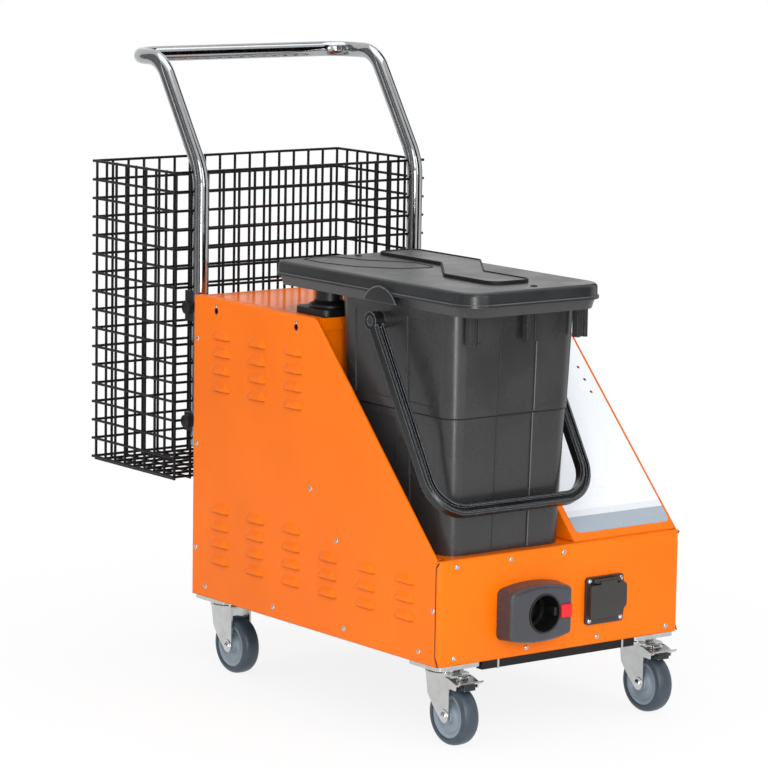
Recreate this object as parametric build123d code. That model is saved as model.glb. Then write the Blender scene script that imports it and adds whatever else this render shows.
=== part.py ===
from build123d import *
import os
from math import cos, hypot, radians, sin, tan

# Steam vacuum cleaner. Millimetres; X to the right, -Y to the front, Z up, the floor at Z = 0.
# Y = 0 is the middle of the sheet body; export moves everything so the whole machine is centred.

# Sheet body
BODY_WIDTH = 410
BODY_LENGTH = 560
BODY_TOP = 529.5
BODY_BOTTOM = 108
SHEET = 1.5
BASE_SHEET = 2
LIP_TOP = 247
SLOPE_SETBACK = 7
SLOPE_RUN = 268.5
FLANGE = 14
FOLD_RADIUS = 3
CORNER_RADIUS = 6
SEAM_SETBACK = 6
SEAM_GAP = 0.8
SLOPE_HEM = 4
RIVET_FLANGE = 20
RELIEF_NOTCH = 6
APRON_DEPTH = 17
CONSOLE_GAP = 1
CAP_DEPTH = 16

# Louvres and keyholes of the side panels
LOUVRE_LENGTH = 43
LOUVRE_HEIGHT = 13
LOUVRE_DEPTH = 4.5
LOUVRE_TAPER = 60
LOUVRE_CORNER = 9
LOUVRE_PITCH_Z = 24
LOUVRE_FRONT_INSET = 72
LOUVRE_BACK_INSET = 68
LOUVRE_COLUMNS = 6
LOUVRE_FRONT_COLUMNS = 3
LOUVRE_LOW_RISE = 59
LOUVRE_LOW_ROWS = 3
LOUVRE_HIGH_DROP = 48.5
LOUVRE_HIGH_ROWS = 4
KEYHOLE_DROP = 17.5
KEYHOLE_FRONT_INSET = 43.5
KEYHOLE_BACK_INSET = 54
KEYHOLE_RADIUS = 4.5
KEYHOLE_SLOT = 4.5
KEYHOLE_RISE = 8

# Rivets
RIVET_RADIUS = 3.6
RIVET_HEIGHT = 1.6
RIVET_TAPER = 40
RIVET_SIDES = 8
RIVET_BACK_INSET = 10
RIVET_BACK_RISE = 67
RIVET_BACK_DROP = 60.5
RIVET_BACK_COUNT = 3
RIVET_LOW_RISE = 15
RIVET_LOW_FRONT = 40
RIVET_LOW_BACK = 34
RIVET_LOW_COUNT = 4
RIVET_SEAM_INSET = 6
RIVET_SEAM_RISE = 73
RIVET_WALL_INSET = 5
RIVET_WALL_RISE = 52
RIVET_FLOOR_INSET = 55
RIVET_FLOOR_DROP = 9
RIVET_LIP_DROP = 9.5
RIVET_LIP_INSET = 29
RIVET_LIP_PITCH = 89.3
RIVET_LIP_COUNT = 3
RIVET_SILL_RISE = 9.5
RIVET_SILL_LEFT = 26.4
RIVET_SILL_RIGHT = 21.2
RIVET_SILL_COUNT = 4

# Console label, lamps and board, measured up the slope from its foot
LABEL_LEFT_MARGIN = 10
LABEL_RIGHT_MARGIN = 4
LABEL_FOOT_MARGIN = 13
LABEL_HEAD_MARGIN = 16
LABEL_CORNER = 9
LABEL_THICKNESS = 0.5
LAMP_INSET = 21
LAMP_RISE = 230
LAMP_PITCH = 21
LAMP_COUNT = 3
LAMP_RADIUS = 2.2
LAMP_PROUD = 1
LAMP_FIT = 0.1
BOARD_WIDTH = 50
BOARD_LENGTH = 110
BOARD_THICKNESS = 2
BOARD_DEPTH = 9
BOARD_EDGE = 5
STANDOFF_RADIUS = 3

# Crossbar under the front edge
CROSSBAR_DEPTH = 12
CROSSBAR_HEIGHT = 11.5
CROSSBAR_SETBACK = 2
BAND_INSETS = (26.5, 21)
BAND_WIDTH = 3
BAND_THICKNESS = 0.8

# Casters; each is drawn about its swivel axis and trails towards the front
CASTER_INSET_X = 39
CASTER_INSET_Y = 35
CASTER_TRAIL = 22
WHEEL_RADIUS = 40
TYRE_WIDTH = 26
TYRE_SHOULDER = 7
HUB_RADIUS = 29
HUB_RIM = 4
HUB_RIM_WIDTH = 22
HUB_WEB = 10
HUB_BOSS_RADIUS = 10
HUB_BOSS_WIDTH = 28
AXLE_RADIUS = 4
AXLE_HEAD_RADIUS = 7
AXLE_HEAD = 4.5
RUNNING_FIT = 0.08
SIDE_PLAY = 0.4
PLATE_WIDTH = 72
PLATE_LENGTH = 68
PLATE_THICKNESS = 6
PLATE_CORNER = 9
RACE_RADIUS = 21
RACE_HEIGHT = 6
KINGPIN_RADIUS = 6
KINGPIN_HEAD_RADIUS = 9
KINGPIN_HEAD = 3
FORK_SHEET = 2.5
FORK_BACK = 18
FORK_FRONT = 9
FORK_SHOULDER_Z = 63
FORK_TIP_RADIUS = 9.5
CROWN_RADIUS = 25

# Brake pedals, placed from the axle they stand over
PEDAL_PIVOT_Y = -4
PEDAL_PIVOT_Z = 46
PEDAL_PIN_RADIUS = 3
PEDAL_EAR_RADIUS = 6.5
PEDAL_SHEET = 2
PEDAL_PLAY = 0.5
PEDAL_TOP = ((-13, 51), (-26, 46.5), (-31, 46.5), (-35, 49.5))
PEDAL_WING = ((-13, 51), (-26, 46.5), (-25, 38), (-14, 39))
SHOE_FRONT = -32
SHOE_BACK = -22
SHOE_BOTTOM = 37
SHOE_TOP = 46.5
SHOE_WIDTH = 18

# Bucket, drawn about its own middle
BUCKET_SIDE_GAP = 17
BUCKET_SETBACK = 128
BUCKET_HEIGHT = 316
BUCKET_FOOT_WIDTH = 196
BUCKET_FOOT_LENGTH = 226
BUCKET_TOP_WIDTH = 214
BUCKET_TOP_LENGTH = 248
BUCKET_CORNER = 26
BUCKET_WALL = 3
BUCKET_STEP = 2
BUCKET_STEP_RISE = 181
PANEL_DEPTH = 1.5
PANEL_END = 12
CHANNEL_OFFSET = 4
CHANNEL_WIDTH = 60
SIDE_BAND_OFFSET = -14.5
SIDE_BAND = 29
CORNER_BAND = 30
RIM_HEIGHT = 13
RIM_WALL = 3
RIM_INSET = 3
RIM_TAPER = 4
LUG_OFFSETS = (-80, 14, 97.4)
LUG_WIDTH = 18
LUG_REACH = 14
LUG_DEPTH = 10
LUG_GROOVE_WIDTH = 8
LUG_GROOVE_DEPTH = 4
LUG_HEIGHT = 40

# Lid
LID_SIDE_OVERHANG = 7.5
LID_FRONT_OVERHANG = 44
LID_BACK_OVERHANG = 131
LID_HEIGHT = 20
LID_FRONT_CORNER = 34
LID_BACK_CORNER = 14
LID_WALL = 3
LID_EDGE = 6
BEAD_HEIGHT = 4
BEAD_PROUD = 2
EAR_RADIUS = 40
EAR_THICKNESS = 4
EAR_SETBACK = 5
EAR_RISE = 4
EAR_DROP = 10
EAR_FIT = 0.5
LIP_RADIUS = 17
LIP_DROP = 4
LIP_MARGIN = 16
RELIEF_HEIGHT = 3
RELIEF_BAND = 68
RELIEF_BACK_OFFSET = 77
RELIEF_FRONT_OFFSET = 3
RELIEF_BACK_RUN = 146
RELIEF_STEP_RUN = 100
RELIEF_FRONT_MARGIN = 58
RELIEF_BACK_MARGIN = 17
RELIEF_ROUND = 18
LID_SCREW_OFFSET = 9
LID_SCREW_RADIUS = 5
LID_SCREW_HEIGHT = 1.5
LID_SCREW_INSET = 24

# Bail
PIVOT_SETBACK = 10
PIVOT_DROP = 20
BAIL_GAP = 2.5
BAIL_LENGTH = 271
BAIL_TILT = 30.8
BAIL_WIDTH = 16
BAIL_DEPTH = 17
BAIL_BEND = 46
BAIL_EDGE = 2.5
BAIL_GROOVE_WIDTH = 7
BAIL_GROOVE_DEPTH = 5
HUB_EYE_RADIUS = 12
PIVOT_PIN_RADIUS = 5.7
PIVOT_FIT = 0.3
PIVOT_BOSS_RADIUS = 11

# Suction duct on the rear deck
DUCT_INSET = 51
DUCT_SETBACK = 38.5
DUCT_FLANGE = 70
DUCT_FLANGE_HEIGHT = 10
DUCT_FLANGE_CORNER = 14
NECK_RADIUS = 18.5
NECK_WALL = 3
NECK_ENTRY = 9
NECK_GAP = 2

# Steam hose socket on the front panel
PORT_X = -51
PORT_RISE = 59
PORT_BORE = 24
PORT_DEPTH = 33
LINER_WALL = 2
LINER_PROUD = 1
LINER_FIT = 0.1
CHAMBER_RADIUS = 20
CHAMBER_DEPTH = 12
CHAMBER_FLOOR = 2
NIPPLE_RADIUS = 5
NIPPLE_LENGTH = 9
SPIGOT_LENGTH = 12
HOUSING_REACH_LEFT = 58
HOUSING_REACH_RIGHT = 49
HOUSING_END_HEIGHT = 65
HOUSING_MID_HEIGHT = 80
HOUSING_DEPTH = 28
HOUSING_TAPER = 5
HOUSING_CORNER = 9
HOUSING_EDGE = 5
BUTTON_SIZE = 18
BUTTON_OFFSET = 36
BUTTON_PROUD = 2.5
BUTTON_LENGTH = 14
BUTTON_TRAVEL = 3
BUTTON_FIT = 0.3

# Power outlet on the front panel
OUTLET_X = 72
OUTLET_RISE = 59.5
OUTLET_WIDTH = 65
OUTLET_HEIGHT = 64
OUTLET_FLANGE = 4
OUTLET_CORNER = 5
OUTLET_BOX_WIDTH = 58
OUTLET_BOX_HEIGHT = 44
OUTLET_BOX_DEPTH = 5
OUTLET_BORE = 19
OUTLET_DEPTH = 20
OUTLET_CAN_RADIUS = 23
OUTLET_FLOOR = 3
OUTLET_SCREW_INSET = 5.5
OUTLET_SCREW_RADIUS = 3.4
OUTLET_SCREW_HEIGHT = 2
FLAP_WIDTH = 62
FLAP_HEIGHT = 45
FLAP_THICKNESS = 3.5
FLAP_CORNER = 6
FLAP_CUT = 14
FLAP_GAP = 0.3
HINGE_RISE = 26.5
HINGE_RADIUS = 3
HINGE_PIN_RADIUS = 1.5
HINGE_LENGTH = 43
KNUCKLE_LENGTH = 28

# Push handle
TUBE_RADIUS = 11
TUBE_GAP = 0.3
HANDLE_INSET = 18
HANDLE_OVERLAP = 214.5
HANDLE_STRAIGHT = 168
HANDLE_RISE = 151
HANDLE_SLOPE_RUN = 99.5
HANDLE_REACH = 179.7
HANDLE_BENDS = (80, 50, 42, 42, 50, 80)
HANDLE_BOLT_RISES = (45, 155)
BOLT_RADIUS = 4
BOLT_HEAD_RADIUS = 7
BOLT_HEAD = 5
BOLT_GRIP = 8

# Wire basket and its clips
BASKET_WIDTH = 435
BASKET_GAP = 6.7
BASKET_DEPTH = 211
BASKET_DROP = 266
BASKET_HEIGHT = 433.5
BASKET_WIDE_COUNT = 16
BASKET_HIGH_COUNT = 16
BASKET_DEEP_COUNT = 8
WIRE = 3.2
CLIP_WIDTH = 22
CLIP_LEVELS = (3, 9)
CLIP_REACH_DOWN = (14, 19)
CLIP_REACH_UP = (12, 23)
CLIP_FIT = 0.3
KNOB_RADIUS = 9
KNOB_LENGTH = 8

# Pieces inside the body
BOILER_INSET_X = 110
BOILER_INSET_Y = 130
BOILER_RADIUS = 75
BOILER_HEIGHT = 290
BOILER_DOME = 30
BOILER_NECK_RADIUS = 58
SKIRT_RADIUS = 60
SKIRT_HEIGHT = 20
HEATER_RADIUS = 24
HEATER_HEIGHT = 9
TERMINAL_RADIUS = 3
TERMINAL_HEIGHT = 16
TERMINAL_OFFSET = 10
SAFETY_OFFSET = 40
SAFETY_RADIUS = 9
SAFETY_HEIGHT = 34
VALVE_OFFSET = 40
VALVE_SIZE = 26
VALVE_HEIGHT = 44
PIPE_RADIUS = 4
PIPE_HIGH = 22
PIPE_BACK_RUN = 100
PIPE_LEAD = 15
TANK_LEFT_INSET = 25
TANK_RIGHT_INSET = 105
TANK_FRONT_INSET = 65
TANK_BACK_INSET = 25.5
TANK_HEIGHT = 118
TANK_CORNER = 18
TANK_CAP_RADIUS = 22
TANK_CAP_HEIGHT = 8
PUMP_INSET_X = 115
PUMP_INSET_Y = 80
PUMP_WIDTH = 50
PUMP_LENGTH = 60
PUMP_HEIGHT = 36
PUMP_COIL_RADIUS = 17
PUMP_COIL_LENGTH = 90
FAN_RADIUS = 35
FAN_HEIGHT = 62
MOTOR_RADIUS = 30
MOTOR_HEIGHT = 66
MOTOR_CAP_RADIUS = 20
MOTOR_CAP_HEIGHT = 12
MOTOR_EYE_DEPTH = 20
GLAND_X = 80
GLAND_RISE = 52
GLAND_RADIUS = 11
GLAND_NUT_RADIUS = 14
GLAND_NUT = 6
GLAND_LENGTH = 18
GLAND_CORD_RADIUS = 5

# Derived places
SIDE_X = BODY_WIDTH / 2
FRONT_Y = -BODY_LENGTH / 2
BACK_Y = BODY_LENGTH / 2
INNER_X = SIDE_X - SHEET
BASE_TOP = BODY_BOTTOM + BASE_SHEET
SEAM_Y = FRONT_Y + SEAM_SETBACK
DECK_TOP = BODY_TOP - SHEET
DECK_BOTTOM = DECK_TOP - SHEET
SLOPE_FOOT_Y = FRONT_Y + SLOPE_SETBACK
SLOPE_TOP_Y = SLOPE_FOOT_Y + SLOPE_RUN
SLOPE_RISE = (BODY_TOP - LIP_TOP) / SLOPE_RUN
SLOPE_STRETCH = hypot(1, SLOPE_RISE)
SLOPE_PLANE = Plane((0, SLOPE_FOOT_Y, LIP_TOP), x_dir=(1, 0, 0), z_dir=(0, -SLOPE_RISE, 1))
FRONT_PLANE = Plane.XZ.offset(-FRONT_Y)
BUCKET_X = -SIDE_X + BUCKET_SIDE_GAP + BUCKET_TOP_WIDTH / 2
BUCKET_Y = FRONT_Y + BUCKET_SETBACK
BUCKET_BOTTOM = LIP_TOP
BUCKET_STEP_Z = BUCKET_BOTTOM + BUCKET_STEP_RISE
CONSOLE_X = BUCKET_X + BUCKET_TOP_WIDTH / 2 + CONSOLE_GAP
RIM_BOTTOM = BUCKET_BOTTOM + BUCKET_HEIGHT
RIM_TOP = RIM_BOTTOM + RIM_HEIGHT
LID_TOP = RIM_TOP + LID_HEIGHT
LID_WIDTH = BUCKET_TOP_WIDTH + 2 * LID_SIDE_OVERHANG
LID_FRONT = BUCKET_Y - BUCKET_TOP_LENGTH / 2 - LID_FRONT_OVERHANG
LID_BACK = BUCKET_Y + BUCKET_TOP_LENGTH / 2 + LID_BACK_OVERHANG
PIVOT_Y = BUCKET_Y + PIVOT_SETBACK
PIVOT_Z = RIM_BOTTOM - PIVOT_DROP
BAIL_HALF = LID_WIDTH / 2 + EAR_THICKNESS + BAIL_GAP + BAIL_WIDTH / 2
DUCT_X = -SIDE_X + DUCT_INSET
DUCT_Y = SLOPE_TOP_Y + DUCT_SETBACK
CASTER_X = SIDE_X - CASTER_INSET_X
CASTER_Y = BACK_Y - CASTER_INSET_Y
CASTER_TOP = BODY_BOTTOM
PORT_Z = BODY_BOTTOM + PORT_RISE
BUTTON_X = PORT_X + BUTTON_OFFSET
OUTLET_Z = BODY_BOTTOM + OUTLET_RISE
HANDLE_X = SIDE_X - HANDLE_INSET
LEG_Y = BACK_Y + TUBE_GAP + TUBE_RADIUS
HANDLE_FOOT_Z = BODY_TOP - HANDLE_OVERLAP
HANDLE_BEND_Z = BODY_TOP + HANDLE_STRAIGHT
HANDLE_TOP_Z = HANDLE_BEND_Z + HANDLE_RISE
HANDLE_BOLT_ZS = tuple(HANDLE_FOOT_Z + rise for rise in HANDLE_BOLT_RISES)
BASKET_FRONT = LEG_Y + TUBE_RADIUS + BASKET_GAP
BASKET_BACK = BASKET_FRONT + BASKET_DEPTH
BASKET_BOTTOM = BODY_TOP - BASKET_DROP
BASKET_TOP = BASKET_BOTTOM + BASKET_HEIGHT
BOILER_X = SIDE_X - BOILER_INSET_X
BOILER_Y = BACK_Y - BOILER_INSET_Y
BOILER_TOP = BASE_TOP + BOILER_HEIGHT
VALVE_X = BOILER_X + VALVE_OFFSET
GLAND_Z = BODY_BOTTOM + GLAND_RISE


def slope_y(z, depth=0):
    """Y of the sloping face at height z, or of a layer this deep below the face."""
    return SLOPE_FOOT_Y + (z + depth * SLOPE_STRETCH - LIP_TOP) / SLOPE_RISE


def slope_z(y, depth=0):
    """Height of the sloping face at y, or of a layer this deep below the face."""
    return LIP_TOP + (y - SLOPE_FOOT_Y) * SLOPE_RISE - depth * SLOPE_STRETCH


DECK_FRONT = slope_y(DECK_TOP, SHEET)


def block(x, y, z):
    """A box between pairs of x, y and z."""
    spans = (x, y, z)
    middle = [(low + high) / 2 for low, high in spans]
    size = [high - low for low, high in spans]
    return Pos(*middle) * Box(*size)


def rod_x(x, y, z, radius):
    """A round bar along X between a pair of x."""
    return Pos((x[0] + x[1]) / 2, y, z) * Rot(0, 90, 0) * Cylinder(radius, x[1] - x[0])


def rod_y(x, y, z, radius):
    """A round bar along Y between a pair of y."""
    return Pos(x, (y[0] + y[1]) / 2, z) * Rot(90, 0, 0) * Cylinder(radius, y[1] - y[0])


def rod_z(x, y, z, radius):
    """A round bar along Z between a pair of z."""
    return Pos(x, y, (z[0] + z[1]) / 2) * Cylinder(radius, z[1] - z[0])


def prism_x(points, x):
    """A slab along X whose outline is given in (y, z)."""
    face = make_face(Polyline(*points, close=True))
    return extrude(Plane.YZ.offset(x[0]) * face, x[1] - x[0], dir=(1, 0, 0))


def spread(low, high, gaps):
    """Even places from low to high with this many gaps."""
    return [low + index * (high - low) / gaps for index in range(gaps + 1)]


def side_outline(inset=0, opening=0, slope_inset=0):
    """Side panel corners in (y, z), folded edges moved in and open edges moved out."""
    front = SEAM_Y + SEAM_GAP - opening
    low = BODY_BOTTOM - opening
    high = BODY_TOP - inset
    back = BACK_Y - inset
    return ((front, low), (front, slope_z(front, slope_inset)), (slope_y(high, slope_inset), high),
            (back, high), (back, low))


def louvre_places():
    """Middles of all louvres in (y, z)."""
    places = []
    columns = spread(FRONT_Y + LOUVRE_FRONT_INSET, BACK_Y - LOUVRE_BACK_INSET, LOUVRE_COLUMNS - 1)
    low = BODY_BOTTOM + LOUVRE_LOW_RISE
    high = BODY_TOP - LOUVRE_HIGH_DROP
    for column, y in enumerate(columns):
        behind_bay = column >= LOUVRE_FRONT_COLUMNS
        rows = LOUVRE_LOW_ROWS + (1 if behind_bay else 0)
        places += [(y, low + row * LOUVRE_PITCH_Z) for row in range(rows)]
        if behind_bay:
            places += [(y, high - row * LOUVRE_PITCH_Z) for row in range(LOUVRE_HIGH_ROWS)]
    return places


def louvre_hoods(sunk, root):
    """Hoods open along their lower edge, sloping into the sheet above and at both ends."""
    grown = root * tan(radians(LOUVRE_TAPER))
    outline = Rectangle(LOUVRE_LENGTH + 2 * grown, 2 * (LOUVRE_HEIGHT + grown))
    outline = chamfer(outline.vertices(), LOUVRE_CORNER)
    foot = Plane((-SIDE_X + sunk + root, 0, -LOUVRE_HEIGHT / 2), x_dir=(0, 1, 0), z_dir=(-1, 0, 0))
    hood = extrude(foot * outline, LOUVRE_DEPTH + root, taper=LOUVRE_TAPER)
    hood &= block((-2 * SIDE_X, 0), (-LOUVRE_LENGTH, LOUVRE_LENGTH), (-LOUVRE_HEIGHT / 2, 2 * LOUVRE_HEIGHT))
    return [Pos(0, y, z) * hood for y, z in louvre_places()]


def keyhole(y):
    """A hanging hole with a slot rising from it."""
    x = (-SIDE_X - SHEET, -INNER_X + SHEET)
    z = BODY_TOP - KEYHOLE_DROP
    hole = rod_x(x, y, z, KEYHOLE_RADIUS)
    return hole + block(x, (y - KEYHOLE_SLOT / 2, y + KEYHOLE_SLOT / 2), (z, z + KEYHOLE_RISE))


def side_panel(slope_folded):
    """Left side panel: a pan folded in along its top and back, and along its slope where asked."""
    pan = prism_x(side_outline(), (-SIDE_X, -SIDE_X + FLANGE))
    outer = pan.faces().sort_by(Axis.X)[0]
    folded = [edge for edge in outer.edges()
              if edge.center().Z > BODY_BOTTOM + SHEET
              and edge.center().Y > (SEAM_Y + SHEET if slope_folded else SLOPE_TOP_Y)]
    pan = fillet(folded, FOLD_RADIUS)
    slope_inset = SHEET if slope_folded else -FLANGE
    pan -= prism_x(side_outline(SHEET, FLANGE, slope_inset), (-INNER_X, -SIDE_X + FLANGE))
    for y in (SLOPE_TOP_Y, BACK_Y):
        notch = Rot(45, 0, 0) * Box(FLANGE, RELIEF_NOTCH, RELIEF_NOTCH)
        pan -= Pos(-INNER_X + FLANGE / 2, y, BODY_TOP) * notch
    if slope_folded:
        pan -= prism_x(side_outline(SHEET, FLANGE, -FLANGE), (-SIDE_X + SLOPE_HEM, -SIDE_X + FLANGE))
    pan += louvre_hoods(0, SHEET / 2)
    pan -= louvre_hoods(SHEET, SHEET)
    pan -= [keyhole(y) for y in (SLOPE_TOP_Y + KEYHOLE_FRONT_INSET, BACK_Y - KEYHOLE_BACK_INSET)]
    return pan


def front_panel():
    """Front panel: wraps both corners, folds back along its top, and has riveting strips inside."""
    pan = block((-SIDE_X, SIDE_X), (FRONT_Y, FRONT_Y + FLANGE), (BODY_BOTTOM, LIP_TOP))
    pan = fillet(pan.edges().filter_by(Axis.Z).group_by(Axis.Y)[0], CORNER_RADIUS)
    top = pan.faces().sort_by(Axis.Z)[-1]
    pan = fillet([edge for edge in top.edges() if edge.center().Y < SEAM_Y + FLANGE / 2], FOLD_RADIUS)
    inside = block((-INNER_X, INNER_X), (FRONT_Y + SHEET, FRONT_Y + 2 * FLANGE), (0, LIP_TOP - SHEET))
    pan -= fillet(inside.edges().filter_by(Axis.Z).group_by(Axis.Y)[0], CORNER_RADIUS - SHEET)
    for side in (-1, 1):
        edges = sorted((side * SIDE_X, side * (SIDE_X - FLANGE)))
        pan -= block(edges, (SEAM_Y, BACK_Y), (0, BODY_TOP))
        strip = sorted((side * INNER_X, side * (INNER_X - SHEET)))
        pan += block(strip, (FRONT_Y + SHEET, FRONT_Y + SHEET + RIVET_FLANGE), (BASE_TOP, LIP_TOP - FLANGE))
    wall = (FRONT_Y - SHEET, FRONT_Y + 2 * SHEET)
    pan -= rod_y(PORT_X, wall, PORT_Z, PORT_BORE + LINER_WALL + LINER_FIT)
    pan -= rod_y(OUTLET_X, wall, OUTLET_Z, OUTLET_CAN_RADIUS + LINER_FIT)
    return pan


def base_plate():
    """Floor sheet of the body, rounded to lie in the front corners."""
    plate = block((-INNER_X, INNER_X), (FRONT_Y + SHEET, BACK_Y - 2 * SHEET), (BODY_BOTTOM, BASE_TOP))
    return fillet(plate.edges().filter_by(Axis.Z).group_by(Axis.Y)[0], CORNER_RADIUS)


def back_panel():
    """Back sheet with riveting strips folded forward inside the side panels."""
    back = BACK_Y - SHEET
    panel = block((-INNER_X, INNER_X), (back - SHEET, back), (BODY_BOTTOM, DECK_BOTTOM))
    for side in (-1, 1):
        strip = sorted((side * INNER_X, side * (INNER_X - SHEET)))
        panel += block(strip, (back - SHEET - RIVET_FLANGE, back), (BASE_TOP, DECK_BOTTOM))
    for x in (-HANDLE_X, HANDLE_X):
        for z in HANDLE_BOLT_ZS:
            panel -= rod_y(x, (back - 2 * SHEET, back + SHEET), z, BOLT_RADIUS)
    return panel - rod_y(GLAND_X, (back - 2 * SHEET, back + SHEET), GLAND_Z, GLAND_RADIUS)


def bucket_bay():
    """Bent sheet that floors the bucket's bay and closes it at the back."""
    across = (-INNER_X, CONSOLE_X + SHEET)
    floor = block(across, (FRONT_Y + FLANGE, DECK_FRONT + SHEET), (LIP_TOP - SHEET, LIP_TOP))
    return floor + block(across, (DECK_FRONT, DECK_FRONT + SHEET), (LIP_TOP - SHEET, DECK_BOTTOM))


def rear_deck():
    """Top sheet behind the bay, with an apron folded down over the bay's back wall."""
    deck = block((-INNER_X, INNER_X), (DECK_FRONT, BACK_Y - SHEET), (DECK_BOTTOM, DECK_TOP))
    apron = (-SIDE_X + FLANGE, CONSOLE_X)
    deck += block(apron, (DECK_FRONT - SHEET, DECK_FRONT), (DECK_TOP - APRON_DEPTH, DECK_TOP))
    return deck - rod_z(DUCT_X, DUCT_Y, (DECK_BOTTOM - SHEET, DECK_TOP + SHEET), NECK_RADIUS - NECK_WALL)


def console_cover():
    """Sloping console: one bent sheet with a cheek beside the bay and a cap on the deck."""
    strip = ((SLOPE_FOOT_Y, LIP_TOP), (slope_y(DECK_TOP), DECK_TOP),
             (slope_y(DECK_TOP, SHEET), DECK_TOP), (slope_y(LIP_TOP, SHEET), LIP_TOP))
    cover = prism_x(strip, (CONSOLE_X, INNER_X))
    cap = ((slope_y(DECK_TOP), DECK_TOP), (SLOPE_TOP_Y, BODY_TOP),
           (SLOPE_TOP_Y + CAP_DEPTH, BODY_TOP), (SLOPE_TOP_Y + CAP_DEPTH, DECK_TOP))
    cover += prism_x(cap, (CONSOLE_X, SIDE_X - FLANGE))
    cheek = ((slope_y(LIP_TOP, SHEET), LIP_TOP), (slope_y(DECK_BOTTOM, SHEET), DECK_BOTTOM),
             (DECK_FRONT, DECK_BOTTOM), (DECK_FRONT, LIP_TOP))
    cover += prism_x(cheek, (CONSOLE_X, CONSOLE_X + SHEET))
    return cover - lamp_row(LAMP_RADIUS + LAMP_FIT, -2 * SHEET, SHEET)


def lamp_row(radius, low, high):
    """Round bars at the lamp places, standing square to the slope between two heights."""
    x = SIDE_X - LAMP_INSET
    rises = [LAMP_RISE + index * LAMP_PITCH for index in range(LAMP_COUNT)]
    return [SLOPE_PLANE * Pos(x, up, (low + high) / 2) * Cylinder(radius, high - low) for up in rises]


def console_label():
    """Blank label on the slope, pierced for the lamps."""
    left = CONSOLE_X + LABEL_LEFT_MARGIN
    right = SIDE_X - LABEL_RIGHT_MARGIN
    head = SLOPE_RUN * SLOPE_STRETCH - LABEL_HEAD_MARGIN
    outline = RectangleRounded(right - left, head - LABEL_FOOT_MARGIN, LABEL_CORNER)
    middle = Pos((left + right) / 2, (head + LABEL_FOOT_MARGIN) / 2)
    label = extrude(SLOPE_PLANE * middle * outline, LABEL_THICKNESS)
    return label - lamp_row(LAMP_RADIUS + LAMP_FIT, -SHEET, SHEET)


def control_board():
    """Board under the slope behind the lamps, hung on four standoffs."""
    top = -SHEET - BOARD_DEPTH
    x = INNER_X - BOARD_EDGE - BOARD_WIDTH / 2
    up = LAMP_RISE + (LAMP_COUNT - 1) * LAMP_PITCH / 2
    board = Pos(x, up, top - BOARD_THICKNESS / 2) * Box(BOARD_WIDTH, BOARD_LENGTH, BOARD_THICKNESS)
    reach = (BOARD_WIDTH / 2 - BOARD_EDGE, BOARD_LENGTH / 2 - BOARD_EDGE)
    for side in (-1, 1):
        for end in (-1, 1):
            foot = Pos(x + side * reach[0], up + end * reach[1], top + BOARD_DEPTH / 2)
            board += foot * Cylinder(STANDOFF_RADIUS, BOARD_DEPTH)
    return SLOPE_PLANE * board


def panel_rivets():
    """Heads of all rivets that show on the side and front panels."""
    head = extrude(RegularPolygon(RIVET_RADIUS, RIVET_SIDES), RIVET_HEIGHT, taper=RIVET_TAPER)
    back_zs = spread(BODY_BOTTOM + RIVET_BACK_RISE, BODY_TOP - RIVET_BACK_DROP, RIVET_BACK_COUNT - 1)
    low_ys = spread(FRONT_Y + RIVET_LOW_FRONT, BACK_Y - RIVET_LOW_BACK, RIVET_LOW_COUNT - 1)
    sill_xs = spread(-SIDE_X + RIVET_SILL_LEFT, SIDE_X - RIVET_SILL_RIGHT, RIVET_SILL_COUNT - 1)
    side = [(BACK_Y - RIVET_BACK_INSET, z) for z in back_zs]
    side += [(y, BODY_BOTTOM + RIVET_LOW_RISE) for y in low_ys]
    side += [(SEAM_Y + RIVET_SEAM_INSET, BODY_BOTTOM + RIVET_SEAM_RISE),
             (DECK_FRONT + RIVET_WALL_INSET, LIP_TOP + RIVET_WALL_RISE),
             (DECK_FRONT - RIVET_FLOOR_INSET, LIP_TOP - RIVET_FLOOR_DROP)]
    front = [(-SIDE_X + RIVET_LIP_INSET + column * RIVET_LIP_PITCH, LIP_TOP - RIVET_LIP_DROP)
             for column in range(RIVET_LIP_COUNT)]
    front += [(x, BODY_BOTTOM + RIVET_SILL_RISE) for x in sill_xs]
    heads = [Pos(-SIDE_X, y, z) * Rot(0, -90, 0) * head for y, z in side]
    heads += [Pos(SIDE_X, y, z) * Rot(0, 90, 0) * head for y, z in side]
    return heads + [Pos(x, FRONT_Y, z) * Rot(90, 0, 0) * head for x, z in front]


def crossbar_span():
    """The crossbar's pairs of x, y and z."""
    reach = CASTER_X - PLATE_WIDTH / 2
    front = FRONT_Y + CROSSBAR_SETBACK
    return ((-reach, reach), (front, front + CROSSBAR_DEPTH), (BODY_BOTTOM - CROSSBAR_HEIGHT, BODY_BOTTOM))


def crossbar_bands():
    """Two straps that hold the crossbar up against the base plate."""
    reach, depth, height = crossbar_span()
    bands = []
    for middle in (reach[0] + BAND_INSETS[0], reach[1] - BAND_INSETS[1]):
        x = (middle - BAND_WIDTH / 2, middle + BAND_WIDTH / 2)
        wrap = block(x, (depth[0] - BAND_THICKNESS, depth[1] + BAND_THICKNESS),
                     (height[0] - BAND_THICKNESS, height[1]))
        bands.append(wrap - block(x, depth, height))
    return bands


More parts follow.
